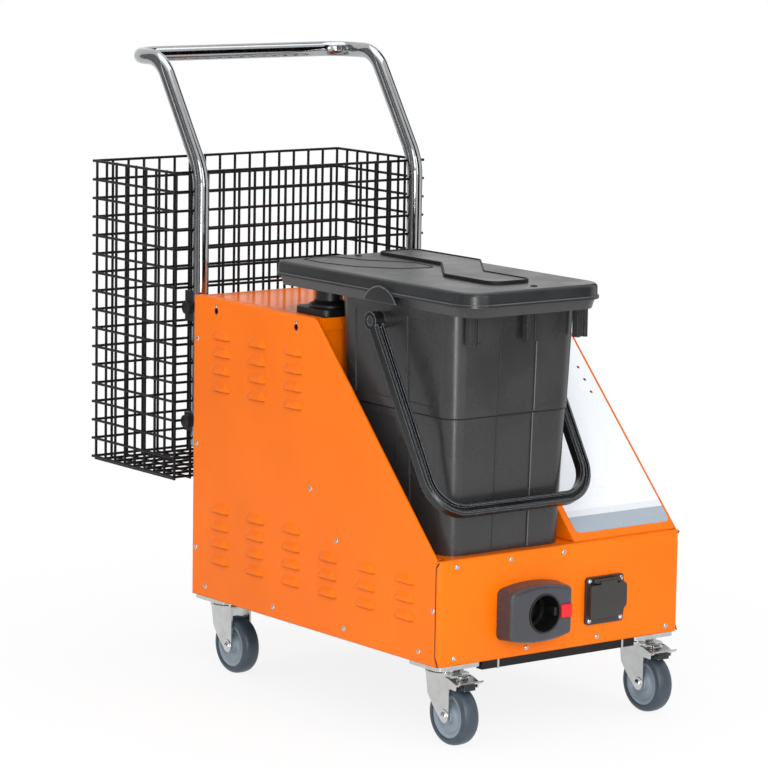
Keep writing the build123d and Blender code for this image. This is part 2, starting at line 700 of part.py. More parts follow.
def caster_plate():
    """Mounting plate with bearing race and kingpin, about the swivel axis."""
    outline = RectangleRounded(PLATE_WIDTH, PLATE_LENGTH, PLATE_CORNER)
    plate = extrude(Plane.XY.offset(CASTER_TOP - PLATE_THICKNESS) * outline, PLATE_THICKNESS)
    race_bottom = CASTER_TOP - PLATE_THICKNESS - RACE_HEIGHT
    plate += rod_z(0, 0, (race_bottom, CASTER_TOP), RACE_RADIUS)
    head_top = crown_top() - FORK_SHEET - SIDE_PLAY
    plate += rod_z(0, 0, (head_top - KINGPIN_HEAD, race_bottom), KINGPIN_RADIUS)
    return plate + rod_z(0, 0, (head_top - KINGPIN_HEAD, head_top), KINGPIN_HEAD_RADIUS)


def crown_top():
    """Height of the fork's top face, just under the bearing race."""
    return CASTER_TOP - PLATE_THICKNESS - RACE_HEIGHT - SIDE_PLAY


def fork_inside():
    """Half the gap between the fork's blades."""
    return HUB_BOSS_WIDTH / 2 + SIDE_PLAY


def caster_fork(braked):
    """Pressed fork: a round crown and two blades that narrow to the axle."""
    axle_y = -CASTER_TRAIL
    front = axle_y - FORK_FRONT
    top = crown_top()
    inner = fork_inside()
    outer = inner + FORK_SHEET
    shoulder = Pos((FORK_BACK + front) / 2, (FORK_SHOULDER_Z + top) / 2)
    shoulder *= Rectangle(FORK_BACK - front, top - FORK_SHOULDER_Z)
    tip = Pos(axle_y, WHEEL_RADIUS) * Circle(FORK_TIP_RADIUS)
    blade = make_hull(shoulder.edges() + tip.edges())
    fork = extrude(Plane.YZ.offset(-outer) * blade, 2 * outer)
    fork -= block((-inner, inner), (2 * front, -2 * front), (0, top - FORK_SHEET))
    fork += rod_z(0, 0, (top - FORK_SHEET, top), CROWN_RADIUS)
    fork -= rod_z(0, 0, (0, CASTER_TOP), KINGPIN_RADIUS + RUNNING_FIT)
    fork -= rod_x((-2 * outer, 2 * outer), axle_y, WHEEL_RADIUS, AXLE_RADIUS)
    if braked:
        pivot = (axle_y + PEDAL_PIVOT_Y, WHEEL_RADIUS + PEDAL_PIVOT_Z)
        fork -= rod_x((-2 * outer, 2 * outer), *pivot, PEDAL_PIN_RADIUS + RUNNING_FIT)
    return fork


def caster_axle():
    """Axle bolt with a hexagon head outside each blade."""
    outer = fork_inside() + FORK_SHEET
    ends = (-outer - AXLE_HEAD, outer + AXLE_HEAD)
    axle = rod_x((-outer, outer), -CASTER_TRAIL, WHEEL_RADIUS, AXLE_RADIUS)
    head = RegularPolygon(AXLE_HEAD_RADIUS, 6)
    for x in (ends[0], outer):
        axle += extrude(Plane.YZ.offset(x) * Pos(-CASTER_TRAIL, WHEEL_RADIUS) * head, AXLE_HEAD)
    return axle


def wheel_turn(profile):
    """Turn a profile drawn in (x, radius) about the axle."""
    ring = revolve(profile, Axis.X)
    return Pos(0, -CASTER_TRAIL, WHEEL_RADIUS) * ring


def caster_hub():
    """Wheel centre with boss, web and rim, bored for the axle."""
    bore = AXLE_RADIUS + RUNNING_FIT
    half = ((HUB_BOSS_WIDTH / 2, bore), (HUB_BOSS_WIDTH / 2, HUB_BOSS_RADIUS),
            (HUB_WEB / 2, HUB_BOSS_RADIUS + HUB_RIM), (HUB_WEB / 2, HUB_RADIUS - 2 * HUB_RIM),
            (HUB_RIM_WIDTH / 2, HUB_RADIUS - HUB_RIM), (HUB_RIM_WIDTH / 2, HUB_RADIUS))
    mirrored = tuple((-x, radius) for x, radius in reversed(half))
    return wheel_turn(make_face(Polyline(*half, *mirrored, close=True)))


def caster_tyre():
    """Soft tyre with sloped shoulders either side of its tread."""
    section = Pos(0, (HUB_RADIUS + WHEEL_RADIUS) / 2) * Rectangle(TYRE_WIDTH, WHEEL_RADIUS - HUB_RADIUS)
    return wheel_turn(chamfer(section.vertices().group_by(Axis.Y)[-1], TYRE_SHOULDER, 0.7 * TYRE_SHOULDER))


def brake_pedal():
    """Pressed pedal hinged on the fork, with a brake shoe over the tyre."""
    axle = Pos(-CASTER_TRAIL, WHEEL_RADIUS)
    inner = fork_inside() + FORK_SHEET + PEDAL_PLAY
    outer = inner + PEDAL_SHEET
    top_line = Polyline(*PEDAL_TOP)
    sheet = make_face(top_line + offset(top_line, PEDAL_SHEET, side=Side.LEFT))
    pedal = extrude(Plane.YZ.offset(-outer) * axle * sheet, 2 * outer)
    ear = axle * Pos(PEDAL_PIVOT_Y, PEDAL_PIVOT_Z) * Circle(PEDAL_EAR_RADIUS)
    wing = make_hull(ear.edges() + (axle * Polyline(*PEDAL_WING, close=True)).edges())
    for x in (-outer, inner):
        pedal += extrude(Plane.YZ.offset(x) * wing, PEDAL_SHEET)
    pivot = (-CASTER_TRAIL + PEDAL_PIVOT_Y, WHEEL_RADIUS + PEDAL_PIVOT_Z)
    pedal += rod_x((-outer, outer), *pivot, PEDAL_PIN_RADIUS)
    shoe = block((-SHOE_WIDTH / 2, SHOE_WIDTH / 2), (SHOE_FRONT, SHOE_BACK), (SHOE_BOTTOM, SHOE_TOP))
    return pedal + Pos(0, -CASTER_TRAIL, WHEEL_RADIUS) * shoe


def bucket_section(z, inset):
    """Outline of the tapering bucket wall at height z."""
    rise = (z - BUCKET_BOTTOM) / (RIM_BOTTOM - BUCKET_BOTTOM)
    width = BUCKET_FOOT_WIDTH + rise * (BUCKET_TOP_WIDTH - BUCKET_FOOT_WIDTH) - 2 * inset
    length = BUCKET_FOOT_LENGTH + rise * (BUCKET_TOP_LENGTH - BUCKET_FOOT_LENGTH) - 2 * inset
    outline = RectangleRounded(width, length, BUCKET_CORNER - inset)
    return Plane.XY.offset(z) * Pos(BUCKET_X, BUCKET_Y) * outline


def bucket_taper(low, high, inset):
    """The bucket's tapering form between two heights."""
    return loft([bucket_section(low, inset), bucket_section(high, inset)], ruled=True)


def lid_outline(z, inset):
    """Rounded outline that the rim and the lid share."""
    outline = Rectangle(LID_WIDTH - 2 * inset, LID_BACK - LID_FRONT - 2 * inset)
    outline = fillet(outline.vertices().group_by(Axis.Y)[0], LID_FRONT_CORNER - inset)
    outline = fillet(outline.vertices().group_by(Axis.Y)[-1], LID_BACK_CORNER - inset)
    return Plane.XY.offset(z) * Pos(BUCKET_X, (LID_FRONT + LID_BACK) / 2) * outline


def wall_panels():
    """Shallow fields in the bucket walls: a channel up the front and back, two fields on either side."""
    zones = ((BUCKET_BOTTOM, BUCKET_STEP_Z, BUCKET_STEP), (BUCKET_STEP_Z, RIM_BOTTOM, 0))
    far = BUCKET_TOP_LENGTH
    channel = (BUCKET_X + CHANNEL_OFFSET - CHANNEL_WIDTH / 2, BUCKET_X + CHANNEL_OFFSET + CHANNEL_WIDTH / 2)
    band = BUCKET_Y + SIDE_BAND_OFFSET
    side_edge = BUCKET_FOOT_LENGTH / 2 - CORNER_BAND
    fields = []
    for low, high, inset in zones:
        skin = bucket_taper(low, high, inset) - bucket_taper(low, high, inset + PANEL_DEPTH)
        fields.append(skin & block(channel, (BUCKET_Y - far, BUCKET_Y + far), (low, high)))
        for side in (-1, 1):
            y = sorted((band + side * SIDE_BAND / 2, BUCKET_Y + side * side_edge))
            z = (low + PANEL_END, high - PANEL_END)
            fields.append(skin & block((BUCKET_X - far, BUCKET_X + far), y, z))
    return fields


def bucket():
    """Bucket with stepped walls, a wide rim that reaches back over the duct, and bail bosses."""
    lower = bucket_taper(BUCKET_BOTTOM, BUCKET_STEP_Z, BUCKET_STEP)
    body = lower + bucket_taper(BUCKET_STEP_Z, RIM_BOTTOM + RIM_WALL, 0)
    body -= wall_panels()
    foot_inset = RIM_INSET + RIM_TAPER
    body += loft([lid_outline(RIM_BOTTOM, foot_inset), lid_outline(RIM_TOP, RIM_INSET)], ruled=True)
    body -= extrude(lid_outline(RIM_BOTTOM + RIM_WALL, foot_inset + RIM_WALL), RIM_TOP - RIM_BOTTOM)
    body -= bucket_taper(BUCKET_BOTTOM + BUCKET_WALL, RIM_TOP, BUCKET_STEP + BUCKET_WALL)
    body -= rod_z(DUCT_X, DUCT_Y, (RIM_BOTTOM - RIM_WALL, RIM_TOP), NECK_RADIUS + NECK_GAP)
    face = BUCKET_Y - BUCKET_TOP_LENGTH / 2 - LUG_REACH
    height = (RIM_BOTTOM - LUG_HEIGHT, RIM_BOTTOM)
    for x in [BUCKET_X + lug for lug in LUG_OFFSETS]:
        body += block((x - LUG_WIDTH / 2, x + LUG_WIDTH / 2), (face, face + LUG_DEPTH), height)
        groove = (x - LUG_GROOVE_WIDTH / 2, x + LUG_GROOVE_WIDTH / 2)
        body -= block(groove, (face, face + LUG_GROOVE_DEPTH), height)
    for side in (-1, 1):
        wall_x = BUCKET_X + side * (BUCKET_TOP_WIDTH / 2 - BUCKET_WALL)
        boss_x = BUCKET_X + side * (BAIL_HALF - BAIL_WIDTH / 2 - PIVOT_FIT)
        pin_x = BUCKET_X + side * (BAIL_HALF + BAIL_WIDTH / 2)
        body += rod_x(sorted((wall_x, boss_x)), PIVOT_Y, PIVOT_Z, PIVOT_BOSS_RADIUS)
        body += rod_x(sorted((boss_x, pin_x)), PIVOT_Y, PIVOT_Z, PIVOT_PIN_RADIUS)
    return body


def relief_band():
    """Generic stiffening field on the lid: a band that steps sideways halfway along."""
    back_x = BUCKET_X + RELIEF_BACK_OFFSET - RELIEF_BAND / 2
    front_x = BUCKET_X + RELIEF_FRONT_OFFSET - RELIEF_BAND / 2
    back = LID_BACK - RELIEF_BACK_MARGIN
    step = back - RELIEF_BACK_RUN
    left = ((back_x, back), (back_x, step), (front_x, step - RELIEF_STEP_RUN),
            (front_x, LID_FRONT + RELIEF_FRONT_MARGIN))
    right = tuple((x + RELIEF_BAND, y) for x, y in reversed(left))
    return fillet(make_face(Polyline(*left, *right, close=True)).vertices(), RELIEF_ROUND)


def lid():
    """Shell lid: a bead round its foot, ears over the bail eyes, a grip lip behind and a stepped relief."""
    shell = extrude(lid_outline(RIM_TOP, 0), LID_TOP - RIM_TOP)
    shell = fillet(shell.faces().sort_by(Axis.Z)[-1].edges(), LID_EDGE)
    shell += extrude(lid_outline(RIM_TOP, -BEAD_PROUD), BEAD_HEIGHT)
    shell -= extrude(lid_outline(RIM_TOP, LID_EDGE + LID_WALL), LID_TOP - RIM_TOP - LID_WALL)
    shell += extrude(Plane.XY.offset(LID_TOP) * relief_band(), RELIEF_HEIGHT)
    reach = LID_WIDTH / 2
    for side in (-1, 1):
        outer = BUCKET_X + side * (reach + EAR_THICKNESS)
        on_lid = sorted((BUCKET_X + side * (reach - LID_EDGE), outer))
        below = sorted((BUCKET_X + side * (reach - RIM_INSET + EAR_FIT), outer))
        ear = rod_x(on_lid, PIVOT_Y + EAR_SETBACK, PIVOT_Z + EAR_RISE, EAR_RADIUS)
        shell += ear & block(on_lid, (LID_FRONT, LID_BACK), (RIM_TOP, LID_TOP))
        shell += ear & block(below, (LID_FRONT, LID_BACK), (RIM_TOP - EAR_DROP, RIM_TOP))
    width = (BUCKET_X - reach + LIP_MARGIN, BUCKET_X + reach - LIP_MARGIN)
    lip = rod_x(width, LID_BACK, LID_TOP - LIP_DROP - LIP_RADIUS, LIP_RADIUS)
    return shell + (lip & block(width, (LID_BACK, LID_BACK + LIP_RADIUS), (RIM_TOP, LID_TOP)))


def lid_screws():
    """Two screw heads on the lid's middle line, front and back."""
    places = (LID_FRONT + LID_SCREW_INSET, LID_BACK - LID_SCREW_INSET)
    x = BUCKET_X + LID_SCREW_OFFSET
    return [rod_z(x, y, (LID_TOP, LID_TOP + LID_SCREW_HEIGHT), LID_SCREW_RADIUS) for y in places]


def bail_outline(trim):
    """The bail's U in its own plane, from the pivot down, thinner by a trim on each side."""
    half_width = BAIL_WIDTH / 2 - trim
    edges = []
    for grow in (half_width, -half_width):
        reach = BAIL_HALF + grow
        length = BAIL_LENGTH + grow
        loop = Pos(0, length / 2) * Rectangle(2 * reach, length)
        edges.append(fillet(loop.vertices().group_by(Axis.Y)[-1], BAIL_BEND + grow))
    return edges[0] - edges[1]


def bail():
    """Grooved bail that hangs in front of the bucket, with an eye on each pivot."""
    lean = radians(BAIL_TILT)
    facing = Plane((BUCKET_X, PIVOT_Y, PIVOT_Z), x_dir=(1, 0, 0), z_dir=(0, cos(lean), -sin(lean)))
    bar = extrude(bail_outline(0), BAIL_DEPTH / 2, both=True)
    front = Plane.XY.offset(-BAIL_DEPTH / 2)
    trim = (BAIL_WIDTH - BAIL_GROOVE_WIDTH) / 2
    rims = [face for face in bar.faces() if abs(abs(face.center().Z) - BAIL_DEPTH / 2) < 0.01]
    bar = chamfer([edge for face in rims for edge in face.edges() if edge.center().Y > BAIL_EDGE], BAIL_EDGE)
    bar -= extrude(front * bail_outline(trim), BAIL_GROOVE_DEPTH)
    bar = facing * bar
    for side in (-1, 1):
        middle = BUCKET_X + side * BAIL_HALF
        span = (middle - BAIL_WIDTH / 2, middle + BAIL_WIDTH / 2)
        bar += rod_x(span, PIVOT_Y, PIVOT_Z, HUB_EYE_RADIUS)
        bar -= rod_x(span, PIVOT_Y, PIVOT_Z, PIVOT_PIN_RADIUS + PIVOT_FIT)
    return bar


def duct_flange():
    """Square flange that seats the neck on the rear deck."""
    outline = RectangleRounded(DUCT_FLANGE, DUCT_FLANGE, DUCT_FLANGE_CORNER)
    flange = extrude(Plane.XY.offset(DECK_TOP) * Pos(DUCT_X, DUCT_Y) * outline, DUCT_FLANGE_HEIGHT)
    return flange - rod_z(DUCT_X, DUCT_Y, (DECK_BOTTOM, BODY_TOP + DUCT_FLANGE_HEIGHT), NECK_RADIUS)


def suction_neck():
    """Open pipe from the deck up into the bucket's rim."""
    top = RIM_BOTTOM + NECK_ENTRY
    neck = rod_z(DUCT_X, DUCT_Y, (DECK_TOP, top), NECK_RADIUS)
    return neck - rod_z(DUCT_X, DUCT_Y, (DECK_BOTTOM, top + NECK_WALL), NECK_RADIUS - NECK_WALL)


def housing_face():
    """Y of the steam socket's front face."""
    return FRONT_Y - HOUSING_DEPTH


def socket_housing():
    """Barrel-shaped moulding round the steam port, with a pocket for the release button."""
    left = PORT_X - HOUSING_REACH_LEFT
    right = PORT_X + HOUSING_REACH_RIGHT
    middle = (left + right) / 2
    end = HOUSING_END_HEIGHT / 2
    crest = HOUSING_MID_HEIGHT / 2
    rim = Line((left, -end), (left, end))
    rim += ThreePointArc((left, end), (middle, crest), (right, end))
    rim += Line((right, end), (right, -end))
    rim += ThreePointArc((right, -end), (middle, -crest), (left, -end))
    outline = fillet(make_face(rim).vertices(), HOUSING_CORNER)
    housing = extrude(FRONT_PLANE * Pos(0, PORT_Z) * outline, HOUSING_DEPTH, taper=HOUSING_TAPER)
    housing = fillet(housing.faces().sort_by(Axis.Y)[0].edges(), HOUSING_EDGE)
    face = housing_face()
    housing -= rod_y(PORT_X, (face - SHEET, FRONT_Y + SHEET), PORT_Z, PORT_BORE + LINER_WALL + LINER_FIT)
    half = BUTTON_SIZE / 2 + BUTTON_FIT
    depth = BUTTON_LENGTH - BUTTON_PROUD + BUTTON_TRAVEL + BUTTON_FIT
    return housing - block((BUTTON_X - half, BUTTON_X + half), (face - BUTTON_PROUD, face + depth),
                           (PORT_Z - half, PORT_Z + half))


def release_button():
    """Square button in the steam socket's pocket."""
    half = BUTTON_SIZE / 2
    front = housing_face() - BUTTON_PROUD
    return block((BUTTON_X - half, BUTTON_X + half), (front, front + BUTTON_LENGTH),
                 (PORT_Z - half, PORT_Z + half))


def liner_end():
    """Y of the steam liner's closed back end."""
    return housing_face() - LINER_PROUD + PORT_DEPTH + CHAMBER_DEPTH + CHAMBER_FLOOR


def socket_liner():
    """Bored liner of the steam port, with a nipple in its chamber and a spigot behind."""
    front = housing_face() - LINER_PROUD
    step = front + PORT_DEPTH
    floor = step + CHAMBER_DEPTH
    end = liner_end()
    liner = rod_y(PORT_X, (front, end), PORT_Z, PORT_BORE + LINER_WALL)
    liner -= rod_y(PORT_X, (front - LINER_PROUD, step), PORT_Z, PORT_BORE)
    liner -= rod_y(PORT_X, (step, floor), PORT_Z, CHAMBER_RADIUS)
    liner += rod_y(PORT_X, (floor - NIPPLE_LENGTH, floor), PORT_Z, NIPPLE_RADIUS)
    return liner + rod_y(PORT_X, (end, end + SPIGOT_LENGTH), PORT_Z, NIPPLE_RADIUS)


def outlet_front():
    """Y of the power outlet's raised front, where the flap shuts."""
    return FRONT_Y - OUTLET_FLANGE - OUTLET_BOX_DEPTH


def hinge_y():
    """Y of the flap's hinge axis."""
    return outlet_front()


def hinge_spans():
    """Pairs of x for the two fixed knuckles, left and right of the flap's own."""
    near = KNUCKLE_LENGTH / 2 + FLAP_GAP
    far = HINGE_LENGTH / 2
    return ((OUTLET_X - far, OUTLET_X - near), (OUTLET_X + near, OUTLET_X + far))


def power_outlet():
    """Flanged outlet with a round recess, and two knuckles for the flap above it."""
    flange = RectangleRounded(OUTLET_WIDTH, OUTLET_HEIGHT, OUTLET_CORNER)
    raised = RectangleRounded(OUTLET_BOX_WIDTH, OUTLET_BOX_HEIGHT, OUTLET_CORNER)
    middle = Pos(OUTLET_X, OUTLET_Z)
    front = outlet_front()
    body = extrude(FRONT_PLANE * middle * flange, OUTLET_FLANGE)
    body += extrude(FRONT_PLANE * middle * raised, OUTLET_FLANGE + OUTLET_BOX_DEPTH)
    floor = front + OUTLET_DEPTH
    body += rod_y(OUTLET_X, (FRONT_Y, floor + OUTLET_FLOOR), OUTLET_Z, OUTLET_CAN_RADIUS)
    body -= rod_y(OUTLET_X, (front - OUTLET_FLANGE, floor), OUTLET_Z, OUTLET_BORE)
    hinge_z = OUTLET_Z + HINGE_RISE
    for x in hinge_spans():
        body += rod_x(x, hinge_y(), hinge_z, HINGE_RADIUS)
        z = (hinge_z - HINGE_RADIUS, hinge_z + HINGE_RADIUS)
        body += block(x, (hinge_y(), FRONT_Y - OUTLET_FLANGE), z)
        body -= rod_x(x, hinge_y(), hinge_z, HINGE_PIN_RADIUS)
    return body


def outlet_screws():
    """Screw heads at the four corners of the outlet's flange."""
    face = FRONT_Y - OUTLET_FLANGE
    reach_x = OUTLET_WIDTH / 2 - OUTLET_SCREW_INSET
    reach_z = OUTLET_HEIGHT / 2 - OUTLET_SCREW_INSET
    return [rod_y(OUTLET_X + side * reach_x, (face - OUTLET_SCREW_HEIGHT, face), OUTLET_Z + level * reach_z,
                  OUTLET_SCREW_RADIUS)
            for side in (-1, 1) for level in (-1, 1)]


def outlet_flap():
    """Flap over the outlet, one lower corner cut away, hung on a middle knuckle."""
    half_w = FLAP_WIDTH / 2
    half_h = FLAP_HEIGHT / 2
    corners = ((-half_w, -half_h), (half_w - FLAP_CUT, -half_h), (half_w, -half_h + FLAP_CUT),
               (half_w, half_h), (-half_w, half_h))
    outline = fillet(make_face(Polyline(*corners, close=True)).vertices(), FLAP_CORNER)
    back = outlet_front() - FLAP_GAP
    shut = Plane.XZ.offset(-back)
    flap = extrude(shut * Pos(OUTLET_X, OUTLET_Z) * outline, FLAP_THICKNESS)
    hinge_z = OUTLET_Z + HINGE_RISE
    span = (OUTLET_X - KNUCKLE_LENGTH / 2, OUTLET_X + KNUCKLE_LENGTH / 2)
    flap += block(span, (back - FLAP_THICKNESS, back), (OUTLET_Z, hinge_z))
    flap += rod_x(span, hinge_y(), hinge_z, HINGE_RADIUS)
    return flap - rod_x(span, hinge_y(), hinge_z, HINGE_PIN_RADIUS + RUNNING_FIT)


def hinge_pin():
    """Pin through the flap's three knuckles."""
    half = HINGE_LENGTH / 2
    return rod_x((OUTLET_X - half, OUTLET_X + half), hinge_y(), OUTLET_Z + HINGE_RISE, HINGE_PIN_RADIUS)


def handle_tube():
    """Push handle: one bent tube, two legs on the back and a crossbar swept up and back."""
    slope_back = LEG_Y + HANDLE_SLOPE_RUN
    right = ((HANDLE_X, LEG_Y, HANDLE_FOOT_Z), (HANDLE_X, LEG_Y, HANDLE_BEND_Z),
             (HANDLE_X, slope_back, HANDLE_TOP_Z), (HANDLE_X, LEG_Y + HANDLE_REACH, HANDLE_TOP_Z))
    left = tuple((-x, y, z) for x, y, z in reversed(right))
    path = FilletPolyline(*right, *left, radius=HANDLE_BENDS)
    tube = sweep(Plane(path @ 0, z_dir=path % 0) * Circle(TUBE_RADIUS), path)
    for x in (-HANDLE_X, HANDLE_X):
        for z in HANDLE_BOLT_ZS:
            tube -= rod_y(x, (BACK_Y, BACK_Y + BOLT_GRIP), z, BOLT_RADIUS)
    return tube


def handle_bolts():
    """Bolts from inside the back panel into the handle's legs."""
    inside = BACK_Y - 2 * SHEET
    bolts = []
    for x in (-HANDLE_X, HANDLE_X):
        for z in HANDLE_BOLT_ZS:
            shank = rod_y(x, (inside, BACK_Y + BOLT_GRIP), z, BOLT_RADIUS)
            bolts.append(shank + rod_y(x, (inside - BOLT_HEAD, inside), z, BOLT_HEAD_RADIUS))
    return bolts


def basket_levels():
    """Heights of the basket's hoops."""
    return spread(BASKET_BOTTOM + 1.5 * WIRE, BASKET_TOP - WIRE / 2, BASKET_HIGH_COUNT)


def wire_basket():
    """Welded wire basket: hoops outside, uprights inside them, and a crossed floor, all straight bars."""
    half = WIRE / 2
    side_x = BASKET_WIDTH / 2
    columns = spread(-side_x + 1.5 * WIRE, side_x - 1.5 * WIRE, BASKET_WIDE_COUNT)
    rows = spread(BASKET_FRONT + 1.5 * WIRE, BASKET_BACK - 1.5 * WIRE, BASKET_DEEP_COUNT)
    fronts = ((BASKET_FRONT, BASKET_FRONT + WIRE), (BASKET_BACK - WIRE, BASKET_BACK))
    sides = ((-side_x, -side_x + WIRE), (side_x - WIRE, side_x))
    inner_x = (-side_x + 2 * WIRE, side_x - 2 * WIRE)
    between = (fronts[0][1], fronts[1][0])
    upright = (BASKET_BOTTOM + WIRE, BASKET_TOP)
    bars = []
    for z in basket_levels():
        level = (z - half, z + half)
        bars += [block((-side_x, side_x), y, level) for y in fronts]
        bars += [block(x, between, level) for x in sides]
    for x in columns:
        wide = (x - half, x + half)
        bars += [block(wide, (y - half, y + half), upright) for y in (rows[0], rows[-1])]
        bars.append(block(wide, (BASKET_FRONT, BASKET_BACK), (BASKET_BOTTOM, BASKET_BOTTOM + WIRE)))
    for y in rows[1:-1]:
        deep = (y - half, y + half)
        bars += [block((x - half, x + half), deep, upright) for x in (columns[0], columns[-1])]
        bars.append(block(inner_x, deep, (BASKET_BOTTOM + WIRE, BASKET_BOTTOM + 2 * WIRE)))
    return bars


def basket_clips():
    """Clips behind the handle's legs, each with a slot that grips one hoop and a hand knob."""
    jaw = BASKET_FRONT + WIRE - CLIP_FIT
    levels = basket_levels()
    clips = []
    for side in (-1, 1):
        x = side * HANDLE_X
        across = (x - CLIP_WIDTH / 2, x + CLIP_WIDTH / 2)
        knob_x = sorted((x + side * CLIP_WIDTH / 2, x + side * (CLIP_WIDTH / 2 + KNOB_LENGTH)))
        for level, down, up in zip(CLIP_LEVELS, CLIP_REACH_DOWN, CLIP_REACH_UP):
            z = levels[level]
            clip = block(across, (LEG_Y, jaw), (z - down, z + up))
            clip -= rod_z(x, LEG_Y, (z - 2 * down, z + 2 * up), TUBE_RADIUS)
            slot = WIRE / 2 + CLIP_FIT
            clip -= block((x - CLIP_WIDTH, x + CLIP_WIDTH), (BASKET_FRONT - CLIP_FIT, BASKET_BACK),
                          (z - slot, z + slot))
            clips.append(clip + rod_x(knob_x, BASKET_FRONT - CLIP_FIT - KNOB_RADIUS, z, KNOB_RADIUS))
    return clips


def boiler():
    """Pressure vessel with domed top and a skirt on the base plate."""
    shoulder = BOILER_TOP - BOILER_DOME
    skirt = BASE_TOP + SKIRT_HEIGHT
    profile = ((0, BASE_TOP), (SKIRT_RADIUS, BASE_TOP), (SKIRT_RADIUS, skirt), (BOILER_RADIUS, skirt),
               (BOILER_RADIUS, shoulder), (BOILER_NECK_RADIUS, BOILER_TOP), (0, BOILER_TOP))
    face = Plane.XZ * make_face(Polyline(*profile, close=True))
    return Pos(BOILER_X, BOILER_Y, 0) * revolve(face, Axis.Z)


def boiler_heater():
    """Heater flange with two terminals on the boiler's top."""
    top = BOILER_TOP + HEATER_HEIGHT
    heater = rod_z(BOILER_X, BOILER_Y, (BOILER_TOP, top), HEATER_RADIUS)
    for side in (-1, 1):
        x = BOILER_X + side * TERMINAL_OFFSET
        heater += rod_z(x, BOILER_Y, (top, top + TERMINAL_HEIGHT), TERMINAL_RADIUS)
    return heater


def steam_valve():
    """Valve block on the boiler's top that feeds the steam pipe."""
    half = VALVE_SIZE / 2
    return block((VALVE_X - half, VALVE_X + half), (BOILER_Y - half, BOILER_Y + half),
                 (BOILER_TOP, BOILER_TOP + VALVE_HEIGHT))


def steam_pipe():
    """Pipe from the valve, down behind the bay and forward to the steam port's spigot."""
    high = BOILER_TOP + PIPE_HIGH
    drop_y = BOILER_Y - PIPE_BACK_RUN
    end = liner_end() + SPIGOT_LENGTH
    run_y = end + PIPE_LEAD
    points = ((VALVE_X, BOILER_Y - VALVE_SIZE / 2, high), (VALVE_X, drop_y, high), (VALVE_X, drop_y, PORT_Z),
              (VALVE_X, run_y, PORT_Z), (PORT_X, run_y, PORT_Z), (PORT_X, end, PORT_Z))
    path = Polyline(*points)
    return sweep(Plane(path @ 0, z_dir=path % 0) * Circle(PIPE_RADIUS), path, transition=Transition.RIGHT)


def water_tank():
    """Flat tank under the bay with a filler cap."""
    left = -SIDE_X + TANK_LEFT_INSET
    back = SLOPE_TOP_Y - TANK_BACK_INSET
    top = BASE_TOP + TANK_HEIGHT
    tank = block((left, SIDE_X - TANK_RIGHT_INSET), (FRONT_Y + TANK_FRONT_INSET, back), (BASE_TOP, top))
    tank = fillet(tank.edges().filter_by(Axis.Z), TANK_CORNER)
    cap = (left + 2 * TANK_CAP_RADIUS, back - 2 * TANK_CAP_RADIUS)
    return tank + rod_z(*cap, (top, top + TANK_CAP_HEIGHT), TANK_CAP_RADIUS)


def feed_pump():
    """Small pump on the base plate: a block and a coil across it."""
    x = -SIDE_X + PUMP_INSET_X
    y = BACK_Y - PUMP_INSET_Y
    half_w = PUMP_WIDTH / 2
    half_l = PUMP_LENGTH / 2
    top = BASE_TOP + PUMP_HEIGHT
    pump = block((x - half_w, x + half_w), (y - half_l, y + half_l), (BASE_TOP, top))
    half_coil = PUMP_COIL_LENGTH / 2
    return pump + rod_x((x - half_coil, x + half_coil), y, top, PUMP_COIL_RADIUS)


def vacuum_motor():
    """Fan and motor hung under the deck, its eye in line with the neck."""
    fan_bottom = DECK_BOTTOM - FAN_HEIGHT
    motor_bottom = fan_bottom - MOTOR_HEIGHT
    motor = rod_z(DUCT_X, DUCT_Y, (fan_bottom, DECK_BOTTOM), FAN_RADIUS)
    motor += rod_z(DUCT_X, DUCT_Y, (motor_bottom, fan_bottom), MOTOR_RADIUS)
    motor += rod_z(DUCT_X, DUCT_Y, (motor_bottom - MOTOR_CAP_HEIGHT, motor_bottom), MOTOR_CAP_RADIUS)
    return motor - rod_z(DUCT_X, DUCT_Y, (DECK_BOTTOM - MOTOR_EYE_DEPTH, DECK_TOP), NECK_RADIUS - NECK_WALL)


def cable_gland():
    """Gland for the mains cord, through the back panel."""
    back = BACK_Y - SHEET
    gland = rod_y(GLAND_X, (back - 2 * SHEET, back + GLAND_LENGTH), GLAND_Z, GLAND_RADIUS)
    nut = Plane.XZ.offset(-back) * Pos(GLAND_X, GLAND_Z) * RegularPolygon(GLAND_NUT_RADIUS, 6)
    gland += extrude(nut, -GLAND_NUT)
    return gland - rod_y(GLAND_X, (back - 3 * SHEET, back + 2 * GLAND_LENGTH), GLAND_Z, GLAND_CORD_RADIUS)


def casters():
    """All caster pieces, set under the four corners of the base."""
    pieces = {"caster_plates": []}
    for end, y in (("front", -CASTER_Y), ("rear", CASTER_Y)):
        for hand, x in (("left", -CASTER_X), ("right", CASTER_X)):
            place = Pos(x, y, 0)
            name = end + "_" + hand
            pieces["caster_plates"].append(place * caster_plate())
            pieces[name + "_fork"] = place * caster_fork(end == "front")
            pieces[name + "_axle"] = place * caster_axle()
            pieces[name + "_hub"] = place * caster_hub()
            pieces[name + "_tyre"] = place * caster_tyre()
            if end == "front":
                pieces[name + "_pedal"] = place * brake_pedal()
    return pieces


